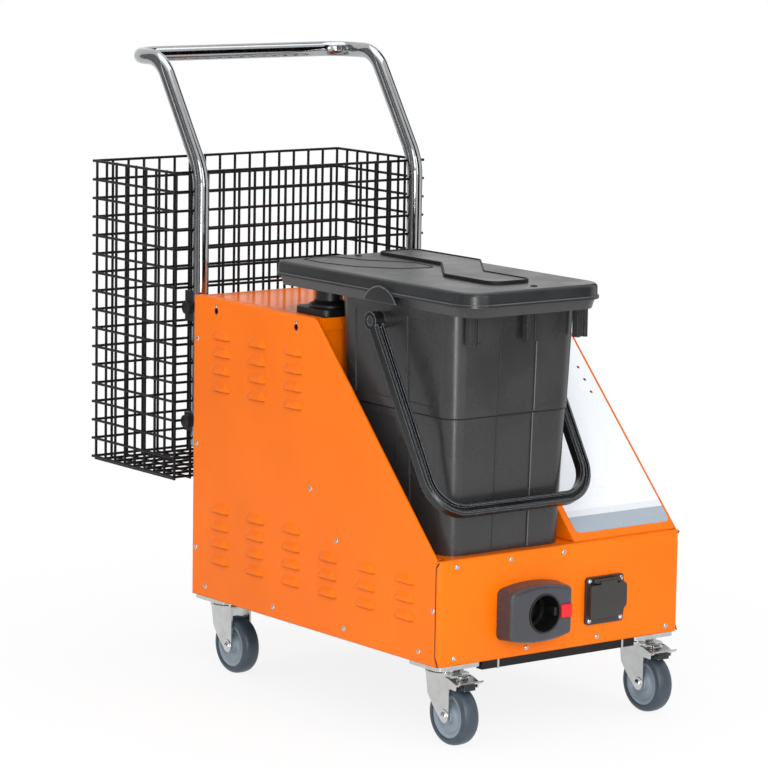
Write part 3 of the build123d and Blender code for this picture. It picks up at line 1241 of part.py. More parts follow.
def machine():
    """Every piece by its node name; a list is a node of several like solids."""
    pieces = {
        "base_plate": base_plate(),
        "front_panel": front_panel(),
        "left_side_panel": side_panel(True),
        "right_side_panel": mirror(side_panel(False), Plane.YZ),
        "back_panel": back_panel(),
        "bucket_bay": bucket_bay(),
        "rear_deck": rear_deck(),
        "console_cover": console_cover(),
        "console_label": console_label(),
        "indicator_lamps": lamp_row(LAMP_RADIUS, -SHEET - BOARD_DEPTH, LABEL_THICKNESS + LAMP_PROUD),
        "control_board": control_board(),
        "panel_rivets": panel_rivets(),
        "front_crossbar": block(*crossbar_span()),
        "crossbar_bands": crossbar_bands(),
        "bucket": bucket(),
        "bucket_lid": lid(),
        "lid_screws": lid_screws(),
        "bail_handle": bail(),
        "duct_flange": duct_flange(),
        "suction_neck": suction_neck(),
        "steam_socket_housing": socket_housing(),
        "steam_socket_liner": socket_liner(),
        "release_button": release_button(),
        "power_outlet": power_outlet(),
        "outlet_screws": outlet_screws(),
        "outlet_flap": outlet_flap(),
        "flap_hinge_pin": hinge_pin(),
        "handle_tube": handle_tube(),
        "handle_bolts": handle_bolts(),
        "basket_clips": basket_clips(),
        "wire_basket": wire_basket(),
        "boiler": boiler(),
        "boiler_heater": boiler_heater(),
        "safety_valve": rod_z(BOILER_X - SAFETY_OFFSET, BOILER_Y, (BOILER_TOP, BOILER_TOP + SAFETY_HEIGHT),
                              SAFETY_RADIUS),
        "steam_valve": steam_valve(),
        "steam_pipe": steam_pipe(),
        "water_tank": water_tank(),
        "feed_pump": feed_pump(),
        "vacuum_motor": vacuum_motor(),
        "cable_gland": cable_gland(),
    }
    pieces.update(casters())
    return pieces


def export_all(pieces):
    """Centre the whole machine over the origin and write one file per node."""
    os.makedirs("parts", exist_ok=True)
    solids = [solid for piece in pieces.values()
              for item in (piece if isinstance(piece, list) else [piece])
              for solid in item.solids()]
    box = Compound(children=solids).bounding_box()
    centred = Pos(-box.center().X, -box.center().Y, -box.min.Z)
    for name, piece in pieces.items():
        items = piece if isinstance(piece, list) else [piece]
        parts = [centred * solid for item in items for solid in item.solids()]
        export_step(parts[0] if len(parts) == 1 else Compound(children=parts), "parts/" + name + ".step")


export_all(machine())
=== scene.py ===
"""Looks of a wheeled steam vacuum cleaner: the finishes of its sheet body, and its finer pieces."""

from math import cos, pi, radians, sin, tan

import bmesh
import bpy
from bmesh.types import BMEdge, BMVert
from mathutils import Matrix, Vector


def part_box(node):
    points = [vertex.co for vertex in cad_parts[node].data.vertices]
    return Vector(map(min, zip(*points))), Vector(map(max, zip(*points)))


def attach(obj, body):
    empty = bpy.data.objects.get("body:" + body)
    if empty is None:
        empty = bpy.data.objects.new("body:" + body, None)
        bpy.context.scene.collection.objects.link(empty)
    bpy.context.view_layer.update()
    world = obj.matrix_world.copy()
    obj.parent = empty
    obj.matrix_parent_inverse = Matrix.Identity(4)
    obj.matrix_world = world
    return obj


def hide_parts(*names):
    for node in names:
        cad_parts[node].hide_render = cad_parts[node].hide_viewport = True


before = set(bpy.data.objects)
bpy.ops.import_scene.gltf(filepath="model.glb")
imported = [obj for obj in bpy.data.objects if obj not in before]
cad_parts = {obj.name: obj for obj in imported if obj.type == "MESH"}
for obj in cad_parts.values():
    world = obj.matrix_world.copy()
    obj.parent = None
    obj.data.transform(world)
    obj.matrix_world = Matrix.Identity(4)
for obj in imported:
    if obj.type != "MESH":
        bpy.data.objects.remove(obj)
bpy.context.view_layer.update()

bl_info = {
    "name": "Steam vacuum cleaner",
    "version": (1, 0, 0),
    "blender": (4, 5, 0),
    "location": "View3D > Sidebar > Machine",
    "description": "Dresses the steam vacuum cleaner in its finishes and finer pieces",
    "category": "Object",
}

# Lengths in these constants are in millimetres, and MM turns them into metres
MM = 0.001
CORNERS = ("front_left", "front_right", "rear_left", "rear_right")
# Points closer than this are one point
MERGE = 0.002
# Sparked mould grain is about 0.5 mm; it is drawn at 1.6 mm to show
GRAIN = 1.6
# Thin lines of painted highlight and painted shadow along the edges of mouldings
LINE_RADIUS = 0.9
LINE_SIDES = 8

# The sheet body's own frame: its middle on the floor, found from the left side panel and its louvres
PANEL_LOW, PANEL_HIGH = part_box("left_side_panel")
HALF_WIDTH = 209.5
HALF_LENGTH = 280
SHIFT = Vector((PANEL_LOW.x + HALF_WIDTH * MM, PANEL_HIGH.y - HALF_LENGTH * MM, 0))

# A dark line of painted shade in the front corner seams: each setback from the front face, with its drop from
# the panel's top or its rise from the foot
SEAM_RADIUS = 0.9
SEAM_BEND = 2
SEAM_SUNK = 0.3
SEAM_TOP = ((0.8, 2), (6.4, 9))
SEAM_FOOT = ((6.4, 14), (0.8, 1))
# Fold under the console
FOLD_RADIUS = 1.2
FOLD_DROP = 1
FOLD_END = 2
# Keyholes in the side panels: their places along the body, and the height of the screw in each slot
KEYHOLES = (39, 226)
KEYHOLE_Z = 518

# Band at the foot of the console film, and where the paler stripe over it ends
FILM_BAND = 24.5
FILM_STRIPE_END = 35

# The bucket in the body's own frame: its middle, its width and length at foot and rim, and three heights
BUCKET_MIDDLE = (-81, -152)
BUCKET_FOOT = (196, 226)
BUCKET_TOP = (214, 248)
FOOT_Z = 247
STEP_Z = 428
RIM_Z = 563
# Below the step the wall stands in by this much; the near-black line of painted shadow under the step has its
# own corner and radius
BUCKET_STEP = 2
STEP_CORNER = 24
STEP_SHADOW_LINE = 1.1
# Edges of the channel up the front wall, one with a line of painted shade and the other with a line of
# painted highlight, and how far the line along each stops from the ends
CHANNEL_SIDES = (-107, -47)
CHANNEL_LINE_RADIUS = 0.8
CHANNEL_LINE_END = 2

# The lid in the body's own frame: its sides and ends at the bead, and the bead's height and corners
LID_SIDES = (-196.7, 34.7)
LID_ENDS = (-321.2, 104.2)
LID_FOOT = 579.5
LID_FRONT_CORNER = 35.5
LID_BACK_CORNER = 15.5
# Ears on the lid's sides: radius, middle, how far they stand out, and the angle where their round edge starts
EAR_RADIUS = 39
EAR_Y = -137
EAR_Z = 547
EAR_PROUD = 2.3
EAR_START = radians(29)
# The lid's relief with its near-black rim and wall of painted shadow, and the leaf-shaped line of painted
# shadow beside it
RELIEF_RISE = 3
RELIEF_RIM = 2
RELIEF_RIM_RISE = 1.3
RELIEF_SHADOW_THICKNESS = 0.5
LEVEL_SLACK = 0.05
LEAF = ((-160, 84), (-162, 40), (-148, -16), (-112, -64), (-58, -76), (-52, -20), (-96, 40), (-106, 84),
        (-132, 97), (-160, 84))
LEAF_BEND = 12
# Rounding of the thin edges on the relief's rim and the bail
THIN_EDGE = 0.4

# Steam port: the liner's wall, and a latch tongue by how far it stands into the bore, the gap behind it, its
# start and end behind the mouth, its half height and its rounding
LINER_WALL = 2
TONGUE = 6
TONGUE_GAP = 0.2
TONGUE_REACH = (3, 22)
TONGUE_HALF = 6
TONGUE_EDGE = 1.5

# Push handle: where its legs bend above their feet, the run of its slope, and its three bends
HANDLE_BEND_RISE = 382.5
HANDLE_SLOPE_RUN = 99.5
HANDLE_BENDS = (80, 50, 42)

# Wire basket: the pitch of its bars follows from these counts and the square bar of the solids
BASKET_WIDE = 16
BASKET_HIGH = 16
BASKET_DEEP = 8
SQUARE_BAR = 3.2

# Casters: shoe and tab of the brake as corners from the wheel's middle, the axle, and the inset of its nuts
BRAKE_SHOE = ((-9.4, -32.4, 36.6), (9.4, -21.6, 46))
RELEASE_TAB = ((-8.5, -20, 49), (8.5, -13, 54))
BRAKE_EDGE = 1.4
AXLE_RADIUS = 4
NUT_INSET = 4.5
# Fork blades curl inwards: start behind the axle, length, cuts, share, and the crown's height left straight
CURL_START = 16
CURL_LENGTH = 24
CURL_STEPS = 5
CURL_SHARE = 0.22
CROWN = 2.6

# Turned profiles, as pairs of radius and height
KEYHOLE_SCREW = ((0, 0.9), (1.2, 0.7), (1.9, 0), (2.1, -0.6), (2.1, -6), (0, -6))
# Blind rivet: a domed head with the hole where its pin snapped off
RIVET = ((0, 0.5), (1.0, 0.5), (1.2, 1.55), (1.9, 1.6), (2.7, 1.35), (3.3, 0.8), (3.6, 0.25), (3.6, 0))
# A shallow lens in a narrow bezel
LENS = ((0, 1.7), (0.9, 1.55), (1.6, 1.2), (2.0, 0.7), (2.2, 0.2), (2.2, -1.5))
# Button head with a socket for its key, and pan head with a socket for its driver
LID_SCREW = ((0, 0.4), (1.6, 0.4), (1.7, 1.5), (3.2, 1.4), (4.4, 0.9), (5.0, 0.3), (5.0, 0))
OUTLET_SCREW = ((0, 0.6), (1.3, 0.6), (1.4, 2.0), (2.2, 1.9), (3.0, 1.4), (3.4, 0.7), (3.4, 0))
# Domed nut on its washer, from the fork's blade outwards
NUT = ((0, 4.6), (2.4, 4.4), (4.4, 3.6), (5.7, 2.4), (6.2, 1.3), (8.4, 1.2), (8.7, 0.8), (8.7, 0), (0, 0))
# Half profiles of a wheel from the bore outwards, as pairs of radius and distance from its middle
TYRE_HALF = ((29.8, 10.8), (30.4, 12.4), (32, 13), (34.8, 12.6), (37.3, 11), (39, 8.4), (39.8, 5.2), (40, 2))
HUB_HALF = ((4.1, 14), (9.4, 14), (10, 13.4), (10.2, 8), (12, 5.6), (14, 5), (21.5, 5), (23, 6),
            (25.4, 10.4), (26.2, 11), (30, 11))

# Camera in the body's own frame: its place, its yaw, pitch and roll in degrees, and its lens
CAMERA_PLACE = (-3091.4, -3941.0, 1193.1)
CAMERA_ANGLES = (37.337, -8.740, 0.926)
CAMERA_LENS = 174.3


def linear(hex_colour):
    """Linear RGBA of an sRGB hex colour."""
    shares = [int(hex_colour[place:place + 2], 16) / 255 for place in (0, 2, 4)]
    return tuple(s / 12.92 if s <= 0.04045 else ((s + 0.055) / 1.055) ** 2.4 for s in shares) + (1.0,)


def shade(colour, share):
    """A colour made darker or lighter by a share."""
    return tuple(min(1.0, part * share) for part in colour[:3]) + (1.0,)


def hue(label, text, hex_colour):
    """A colour property with its sRGB default."""
    return bpy.props.FloatVectorProperty(name=label, description=text, subtype="COLOR", size=4, min=0, max=1,
                                         default=linear(hex_colour))


def length(label, text, millimetres):
    """A length property with its default in millimetres."""
    return bpy.props.FloatProperty(name=label, description=text, subtype="DISTANCE", unit="LENGTH", min=0,
                                   precision=5, default=millimetres * MM)


def count(label, text, number, least):
    """A count property with its default and its least value."""
    return bpy.props.IntProperty(name=label, description=text, default=number, min=least)


class MachineColours(bpy.types.PropertyGroup):
    """Colours of the machine's finishes."""
    orange: hue("Body orange", "Powder coat of the sheet panels", "f37100")
    black_paint: hue("Black paint", "Base plate and front crossbar", "1d1b1a")
    film: hue("Console film", "White film on the console", "e3e6eb")
    film_band: hue("Film band", "Band along the foot of the console film", "98a3ae")
    lens: hue("Lamp lens", "Indicator lamps on the console", "2c1416")
    bucket: hue("Bucket", "Black polypropylene of the bucket", "303031")
    lid: hue("Lid", "Grey-black polypropylene of the lid", "222325")
    # Painted highlight: pale lines along the lid's foot and ears and along one edge of the bucket's channel
    highlight_grey: hue("Beads", "Rubbed beads and ridges of the bucket and its lid", "5c5d60")
    # Painted shadow: near-black lines under the bucket's step and round the lid's relief and leaf field
    shadow_black: hue("Grooves", "Shaded grooves of the bucket and its lid", "0a0a0b")
    bail: hue("Bail", "Polypropylene of the bucket's bail", "0f1011")
    socket: hue("Hose socket", "Moulding round the steam port", "3e3f45")
    liner: hue("Port liner", "Inside of the steam port", "0e0d0e")
    button: hue("Release button", "Red button beside the steam port", "d9101e")
    outlet: hue("Power outlet", "Outlet box and its flap", "322f2e")
    nylon: hue("Nylon", "Clips, gland and end plugs", "17181a")
    steel: hue("Polished steel", "Push handle", "a9abad")
    zinc: hue("Zinc", "Caster forks, plates and pedals", "c8cac9")
    bright: hue("Bright fasteners", "Rivets and screws", "cfd0d1")
    wire: hue("Dipped wire", "Wire basket", "0e0e0f")
    tyre: hue("Tyre", "Grey rubber of the tyres", "37434d")
    wheel: hue("Wheel centre", "Moulded hubs", "87949f")


class MachineSizes(bpy.types.PropertyGroup):
    """Sizes of the finer pieces."""
    moulded_edge: length("Moulded edge", "Rounding along the edges of mouldings", 1.2)
    pressed_edge: length("Pressed edge", "Rounding along the edges of pressed metal", 0.5)
    tube_radius: length("Handle tube radius", "Outer radius of the push handle", 11)
    wire_radius: length("Basket wire radius", "Radius of the basket's wire", 1.95)
    collar_radius: length("Collar radius", "Outer radius of the collar round the suction neck", 27)
    tube_sides: count("Tube sides", "Facets round the handle tube", 40, 12)
    wire_sides: count("Wire sides", "Facets round the basket wire", 12, 6)


def at(x, y, z):
    """A point given in the body's own frame, in millimetres."""
    return Vector((x, y, z)) * MM + SHIFT


def middle(node):
    """Middle of a CAD node's box."""
    low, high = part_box(node)
    return (low + high) / 2


# Materials


def fill(material, node, inputs):
    """Sets a node's inputs: sockets are linked, anything else is a plain value."""
    for name, value in inputs.items():
        if isinstance(value, bpy.types.NodeSocket):
            material.node_tree.links.new(value, node.inputs[name])
        else:
            node.inputs[name].default_value = value


def add_node(material, kind, inputs, stops=(), output=0, **settings):
    """Adds a node with its settings, inputs and colour stops, and returns one of its outputs."""
    node = material.node_tree.nodes.new(kind)
    for name, value in settings.items():
        setattr(node, name, value)
    for place, (position, colour) in enumerate(stops):
        spots = node.color_ramp.elements
        spot = spots[place] if place < 2 else spots.new(position)
        spot.position = position
        spot.color = colour
    fill(material, node, inputs)
    return node.outputs[output]


def start_material(name):
    """A new material with its shader, and the Object coordinates."""
    material = bpy.data.materials.new(name)
    material.use_nodes = True
    shader = material.node_tree.nodes["Principled BSDF"]
    return material, shader, add_node(material, "ShaderNodeTexCoord", {}, output="Object")


def per_mm(pitch):
    """Texture scale that gives a pattern its pitch in millimetres."""
    return 1 / (pitch * MM)


def paint_edge_highlight(material, normals, colour, highlight_colour):
    """A colour that gives way to a paler one where rounded normals leave the face: a highlight painted along
    sharp edges.
    """
    outward = add_node(material, "ShaderNodeNewGeometry", {}, output="Normal")
    facing = add_node(material, "ShaderNodeVectorMath", {0: normals, 1: outward}, output="Value",
                      operation="DOT_PRODUCT")
    edges = add_node(material, "ShaderNodeMapRange", {"Value": facing, "From Min": 0.99, "From Max": 0.88})
    return add_node(material, "ShaderNodeMixRGB", {"Fac": edges, "Color1": colour, "Color2": highlight_colour})


def powder_coat(name, colour, roughness, fold, sheen=0.2):
    """Baked powder on steel sheet: an even satin colour, a faint orange peel, and rounded folds painted paler
    as a highlight.
    """
    material, shader, place = start_material(name)
    corners = add_node(material, "ShaderNodeBevel", {"Radius": fold * MM}, samples=8)
    # Real orange peel is about 1.5 mm across; it is drawn at 4 mm to show
    peel = add_node(material, "ShaderNodeTexNoise", {"Vector": place, "Scale": per_mm(4), "Detail": 1.0})
    cloud = add_node(material, "ShaderNodeTexNoise", {"Vector": place, "Scale": per_mm(160), "Detail": 3.0})
    tone = add_node(material, "ShaderNodeValToRGB", {"Fac": cloud},
                    stops=((0.3, shade(colour, 0.93)), (0.7, shade(colour, 1.04))))
    # Folds painted paler: a painted highlight
    fold_highlight = paint_edge_highlight(material, corners, tone, shade(colour, 1.18))
    rough = add_node(material, "ShaderNodeMapRange", {"Value": cloud, "To Min": roughness - 0.05,
                                                      "To Max": roughness + 0.07})
    bump = add_node(material, "ShaderNodeBump", {"Height": peel, "Strength": 0.18, "Distance": 0.2 * MM,
                                                 "Normal": corners})
    fill(material, shader, {"Base Color": fold_highlight, "Roughness": rough, "Normal": bump,
                            "Specular IOR Level": sheen})
    return material


def moulded_plastic(name, colour, roughness, grain=GRAIN, edge=0.8, highlight_share=1.9):
    """Injection-moulded plastic: a fine sparked grain, a soft sheen, and sharp edges painted paler as a
    highlight.
    """
    material, shader, place = start_material(name)
    corners = add_node(material, "ShaderNodeBevel", {"Radius": 0.8 * MM}, samples=4)
    # A band along sharp edges, edge millimetres wide, is painted paler by a share: a painted highlight
    highlight_band = add_node(material, "ShaderNodeBevel", {"Radius": edge * MM}, samples=4)
    sparks = add_node(material, "ShaderNodeTexNoise", {"Vector": place, "Scale": per_mm(grain),
                                                       "Detail": 3.0})
    haze = add_node(material, "ShaderNodeTexNoise", {"Vector": place, "Scale": per_mm(70), "Detail": 5.0,
                                                     "Roughness": 0.6})
    tone = add_node(material, "ShaderNodeValToRGB", {"Fac": haze},
                    stops=((0.35, shade(colour, 0.88)), (0.7, shade(colour, 1.12))))
    painted_highlight = paint_edge_highlight(material, highlight_band, tone, shade(colour, highlight_share))
    rough = add_node(material, "ShaderNodeMapRange", {"Value": haze, "From Min": 0.3, "From Max": 0.7,
                                                      "To Min": roughness - 0.06, "To Max": roughness + 0.08})
    bump = add_node(material, "ShaderNodeBump", {"Height": sparks, "Strength": 0.25, "Distance": 0.15 * MM,
                                                 "Normal": corners})
    fill(material, shader, {"Base Color": painted_highlight, "Roughness": rough, "Normal": bump, "IOR": 1.49})
    return material


def bright_metal(name, colour, roughness, scratch):
    """Polished or plated metal: clear reflections, broken by fine scratches that catch the light."""
    material, shader, place = start_material(name)
    scratches = add_node(material, "ShaderNodeTexNoise", {"Vector": place, "Scale": per_mm(scratch),
                                                          "Detail": 2.0, "Roughness": 0.6})
    tone = add_node(material, "ShaderNodeValToRGB", {"Fac": scratches},
                    stops=((0.3, shade(colour, 0.9)), (0.7, colour)))
    rough = add_node(material, "ShaderNodeMapRange", {"Value": scratches, "From Min": 0.35, "From Max": 0.65,
                                                      "To Min": 0.7 * roughness, "To Max": 1.4 * roughness})
    bump = add_node(material, "ShaderNodeBump", {"Height": scratches, "Strength": 0.02, "Distance": 0.1 * MM})
    fill(material, shader, {"Base Color": tone, "Metallic": 1.0, "Roughness": rough, "Normal": bump})
    return material


def zinc_plate(name, colour):
    """Zinc-plated pressing: a soft grey metal with faint crystal patches and duller, handled flats."""
    material, shader, place = start_material(name)
    # Zinc spangle is about 5 mm across
    spangle = add_node(material, "ShaderNodeTexVoronoi", {"Vector": place, "Scale": per_mm(5)})
    dull = add_node(material, "ShaderNodeTexNoise", {"Vector": place, "Scale": per_mm(18), "Detail": 1.0})
    tone = add_node(material, "ShaderNodeValToRGB", {"Fac": dull},
                    stops=((0.3, shade(colour, 0.88)), (0.65, colour)))
    rough = add_node(material, "ShaderNodeMapRange", {"Value": spangle, "To Min": 0.22, "To Max": 0.3})
    bump = add_node(material, "ShaderNodeBump", {"Height": dull, "Strength": 0.04, "Distance": 0.1 * MM})
    fill(material, shader, {"Base Color": tone, "Metallic": 1.0, "Roughness": rough, "Normal": bump})
    return material


def rubber(name, colour):
    """Rubber of tyres and brake shoes: a dull gloss, with fine dust and scuffs."""
    material, shader, place = start_material(name)
    scuffs = add_node(material, "ShaderNodeTexNoise", {"Vector": place, "Scale": per_mm(9), "Detail": 6.0,
                                                       "Roughness": 0.65})
    tone = add_node(material, "ShaderNodeValToRGB", {"Fac": scuffs},
                    stops=((0.35, shade(colour, 0.85)), (0.7, shade(colour, 1.2))))
    rough = add_node(material, "ShaderNodeMapRange", {"Value": scuffs, "To Min": 0.3, "To Max": 0.5})
    bump = add_node(material, "ShaderNodeBump", {"Height": scuffs, "Strength": 0.2, "Distance": 0.3 * MM})
    fill(material, shader, {"Base Color": tone, "Roughness": rough, "Normal": bump, "IOR": 1.5})
    return material


def console_film(name, colour, band_colour):
    """Glossy white vinyl film, with a grey-blue band at its foot and a paler stripe over it."""
    material, shader, place = start_material(name)
    low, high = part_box("console_label")
    foot = Vector((0, low.y, low.z))
    slope = Vector((0, high.y, high.z)) - foot
    start = foot.dot(slope.normalized())
    along = add_node(material, "ShaderNodeVectorMath", {0: place, 1: slope.normalized()}, output="Value",
                     operation="DOT_PRODUCT")
    share = add_node(material, "ShaderNodeMapRange", {"Value": along, "From Min": start,
                                                      "From Max": start + slope.length})
    band_end = FILM_BAND * MM / slope.length
    stripe_end = FILM_STRIPE_END * MM / slope.length
    stripes = add_node(material, "ShaderNodeValToRGB", {"Fac": share},
                       stops=((0.0, band_colour), (band_end, shade(colour, 0.86)), (stripe_end, colour)))
    stripes.node.color_ramp.interpolation = "CONSTANT"
    smudge = add_node(material, "ShaderNodeTexNoise", {"Vector": place, "Scale": per_mm(45), "Detail": 4.0})
    rough = add_node(material, "ShaderNodeMapRange", {"Value": smudge, "To Min": 0.18, "To Max": 0.34})
    fill(material, shader, {"Base Color": stripes, "Roughness": rough, "IOR": 1.5})
    return material


def drawn_steel(name, colour):
    """Deep-drawn stainless steel: long fine lines up the wall."""
    material, shader, place = start_material(name)
    stretched = add_node(material, "ShaderNodeMapping", {"Vector": place, "Scale": (1, 1, 0.03)})
    lines = add_node(material, "ShaderNodeTexNoise", {"Vector": stretched, "Scale": per_mm(1.5),
                                                      "Detail": 3.0})
    tone = add_node(material, "ShaderNodeValToRGB", {"Fac": lines},
                    stops=((0.3, shade(colour, 0.85)), (0.7, colour)))
    rough = add_node(material, "ShaderNodeMapRange", {"Value": lines, "To Min": 0.22, "To Max": 0.42})
    fill(material, shader, {"Base Color": tone, "Metallic": 1.0, "Roughness": rough})
    return material


def circuit_board(name):
    """Green solder mask over copper tracks."""
    material, shader, place = start_material(name)
    tracks = add_node(material, "ShaderNodeTexBrick",
                      {"Vector": place, "Scale": per_mm(60), "Color1": linear("0f5a34"),
                       "Color2": linear("0c4c2d"), "Mortar": linear("3f7d46"), "Mortar Size": 0.03})
    fill(material, shader, {"Base Color": tracks, "Roughness": 0.4})
    return material


def braided_hose(name):
    """Braided hose: dark strands wound round the pipe."""
    material, shader, place = start_material(name)
    strands = add_node(material, "ShaderNodeTexWave", {"Vector": place, "Scale": per_mm(14),
                                                       "Distortion": 1.0}, bands_direction="DIAGONAL")
    tone = add_node(material, "ShaderNodeValToRGB", {"Fac": strands},
                    stops=((0.3, linear("1a1a1b")), (0.7, linear("3a3a3c"))))
    bump = add_node(material, "ShaderNodeBump", {"Height": strands, "Strength": 0.4, "Distance": 0.3 * MM})
    fill(material, shader, {"Base Color": tone, "Roughness": 0.7, "Normal": bump})
    return material


def dress(material, *nodes):
    """Puts a material on the slots of CAD nodes."""
    for node in nodes:
        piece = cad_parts[node]
        for slot in piece.material_slots:
            slot.material = material
        if not piece.material_slots:
            piece.data.materials.append(material)


# Making pieces


def new_object(name, bm, material):
    """Turns a bmesh into an object of the scene."""
    mesh = bpy.data.meshes.new(name)
    bm.to_mesh(mesh)
    bm.free()
    mesh.materials.append(material)
    made = bpy.data.objects.new(name, mesh)
    bpy.context.scene.collection.objects.link(made)
    return made


def finish_piece(name, bm, material, body, nodes=(), sharp=35, outward=True):
    """Turns a bmesh into a piece that rides on a body and stands for CAD nodes."""
    bmesh.ops.remove_doubles(bm, verts=bm.verts[:], dist=MERGE * MM)
    if outward:
        bmesh.ops.recalc_face_normals(bm, faces=bm.faces[:])
    for face in bm.faces:
        face.smooth = True
    for edge in bm.edges:
        edge.smooth = len(edge.link_faces) == 2 and edge.calc_face_angle(0) < radians(sharp)
    piece = new_object(name, bm, material)
    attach(piece, body)
    if nodes:
        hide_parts(*nodes)
    return piece


def merged_copy(node):
    """A CAD node's own shape with merged faces."""
    bm = bmesh.new()
    bm.from_mesh(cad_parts[node].data)
    bmesh.ops.remove_doubles(bm, verts=bm.verts[:], dist=MERGE * MM)
    bmesh.ops.dissolve_limit(bm, angle_limit=radians(0.5), verts=bm.verts[:], edges=bm.edges[:])
    return bm


def round_edges(piece, width, segments=2):
    """Rounds the sharp edges of a finished piece."""
    rounding = piece.modifiers.new("Rounded edges", "BEVEL")
    rounding.width = width
    rounding.segments = segments
    rounding.limit_method = "ANGLE"
    rounding.angle_limit = radians(30)
    rounding.harden_normals = True


def rounded_copy(name, node, material, body, width, segments=2):
    """A CAD node's own shape with rounded edges, in its place."""
    piece = finish_piece(name, merged_copy(node), material, body, (node,), outward=False)
    round_edges(piece, width, segments)


def solids_of(node):
    """Lowest and highest corner of each separate solid in a CAD node."""
    bm = bmesh.new()
    bm.from_mesh(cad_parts[node].data)
    bmesh.ops.remove_doubles(bm, verts=bm.verts[:], dist=MERGE * MM)
    waiting = set(bm.verts)
    boxes = []
    while waiting:
        reached = [waiting.pop()]
        for vert in reached:
            near = {edge.other_vert(vert) for edge in vert.link_edges} & waiting
            waiting -= near
            reached.extend(near)
        low = Vector([min(vert.co[axis] for vert in reached) for axis in range(3)])
        high = Vector([max(vert.co[axis] for vert in reached) for axis in range(3)])
        boxes.append((low, high))
    bm.free()
    return boxes


def turn(bm, profile, foot, axis, steps):
    """Turns a profile of (radius, height) pairs in millimetres about an axis that starts at foot."""
    axis = Vector(axis).normalized()
    side = axis.orthogonal().normalized()
    verts = [bm.verts.new(foot + (side * radius + axis * height) * MM) for radius, height in profile]
    edges = [bm.edges.new(pair) for pair in zip(verts, verts[1:])]
    bmesh.ops.spin(bm, geom=verts + edges, cent=foot, axis=axis, angle=2 * pi, steps=steps, use_merge=True)


def thin_side(low, high):
    """Direction away from the middle of the frame along a flat box's thinnest side."""
    size = high - low
    thin = min(range(3), key=lambda axis: size[axis])
    outward = Vector((0, 0, 0))
    outward[thin] = -1 if (low + high)[thin] < 0 else 1
    return outward


def turned_heads(node, profile, steps, outward=None):
    """Turned heads for the solids of a CAD node, each from its solid's inner face outwards."""
    bm = bmesh.new()
    for low, high in solids_of(node):
        facing = thin_side(low, high) if outward is None else outward
        depth = abs((high - low).dot(facing))
        turn(bm, profile, (low + high) / 2 - facing * depth / 2, facing, steps)
    return bm


def block(bm, low, high, edge):
    """A box between two corners, its edges rounded by millimetres."""
    made = bmesh.ops.create_cube(bm, size=1)["verts"]
    place = Matrix.Translation((low + high) / 2) @ Matrix.Diagonal(high - low).to_4x4()
    bmesh.ops.transform(bm, matrix=place, verts=made)
    edges = list({part for vert in made for part in vert.link_edges})
    bmesh.ops.bevel(bm, geom=edges, offset=edge * MM, affect="EDGES", segments=2, profile=0.5, material=-1)


def only(kind, parts):
    """The parts of one kind, such as the vertices."""
    return [part for part in parts if isinstance(part, kind)]


def bent_rod(bm, points, bend, radius, sides, steps, closed=False):
    """A round rod along straight runs, with a bend of a given radius at each inner corner."""
    last = len(points) - 1
    bends = bend if isinstance(bend, tuple) else (bend,) * last
    heads = [(points[place + 1] - points[place]).normalized() for place in range(last)]
    facing = heads[0].to_track_quat("Z", "Y").to_matrix().to_4x4()
    ring = bmesh.ops.create_circle(bm, segments=sides, radius=radius,
                                   matrix=Matrix.Translation(points[0]) @ facing)["verts"]
    first_edges = list({edge for vert in ring for edge in vert.link_edges})
    edges = first_edges
    here = points[0]
    for place in range(last):
        turning = place + 1 < last
        angle = heads[place].angle(heads[place + 1]) if turning else 0
        tangent = bends[place] * tan(angle / 2) if turning else 0
        stop = points[place + 1] - heads[place] * tangent
        grown = bmesh.ops.extrude_edge_only(bm, edges=edges)["geom"]
        moved = only(BMVert, grown)
        edges = only(BMEdge, grown)
        bmesh.ops.translate(bm, vec=stop - here, verts=moved)
        here = stop
        if turning:
            axis = heads[place].cross(heads[place + 1]).normalized()
            centre = stop + axis.cross(heads[place]) * bends[place]
            spun = bmesh.ops.spin(bm, geom=moved + edges, cent=centre, axis=axis, angle=angle, steps=steps)
            edges = only(BMEdge, spun["geom_last"])
            here = points[place + 1] + heads[place + 1] * tangent
    if not closed:
        bmesh.ops.contextual_create(bm, geom=first_edges)
        bmesh.ops.contextual_create(bm, geom=edges)


# Pieces, in the order they are made


class MACHINE_OT_sheet_body(bpy.types.Operator):
    """Powder coat on the folded sheet panels, and black paint on the base and crossbar"""
    bl_idname = "machine.sheet_body"
    bl_label = "Sheet body"

    def execute(self, context):
        colours = context.scene.machine_colours
        orange = powder_coat("orange_powder_coat", colours.orange, 0.32, 5)
        dress(orange, "front_panel", "left_side_panel", "right_side_panel", "console_cover", "back_panel")
        # The deck and the bucket's bay are seen at a low angle, where the coat mirrors what stands on it
        gloss = powder_coat("orange_gloss_coat", colours.orange, 0.16, 2, sheen=0.08)
        dress(gloss, "bucket_bay", "rear_deck")
        black = powder_coat("black_powder_coat", colours.black_paint, 0.45, 1)
        dress(black, "base_plate", "front_crossbar")
        dress(bright_metal("strap_aluminium", colours.bright, 0.3, 6), "crossbar_bands")
        return {"FINISHED"}


def corner_seams(low, high):
    """A dark line of painted shade down each front corner seam, bent forward at both ends."""
    bm = bmesh.new()
    line = [(low.y + setback * MM, high.z - drop * MM) for setback, drop in SEAM_TOP]
    line += [(low.y + setback * MM, low.z + rise * MM) for setback, rise in SEAM_FOOT]
    for x in (low.x + SEAM_SUNK * MM, high.x - SEAM_SUNK * MM):
        bent_rod(bm, [Vector((x, y, z)) for y, z in line], SEAM_BEND * MM, SEAM_RADIUS * MM, 10, 3)
    return bm


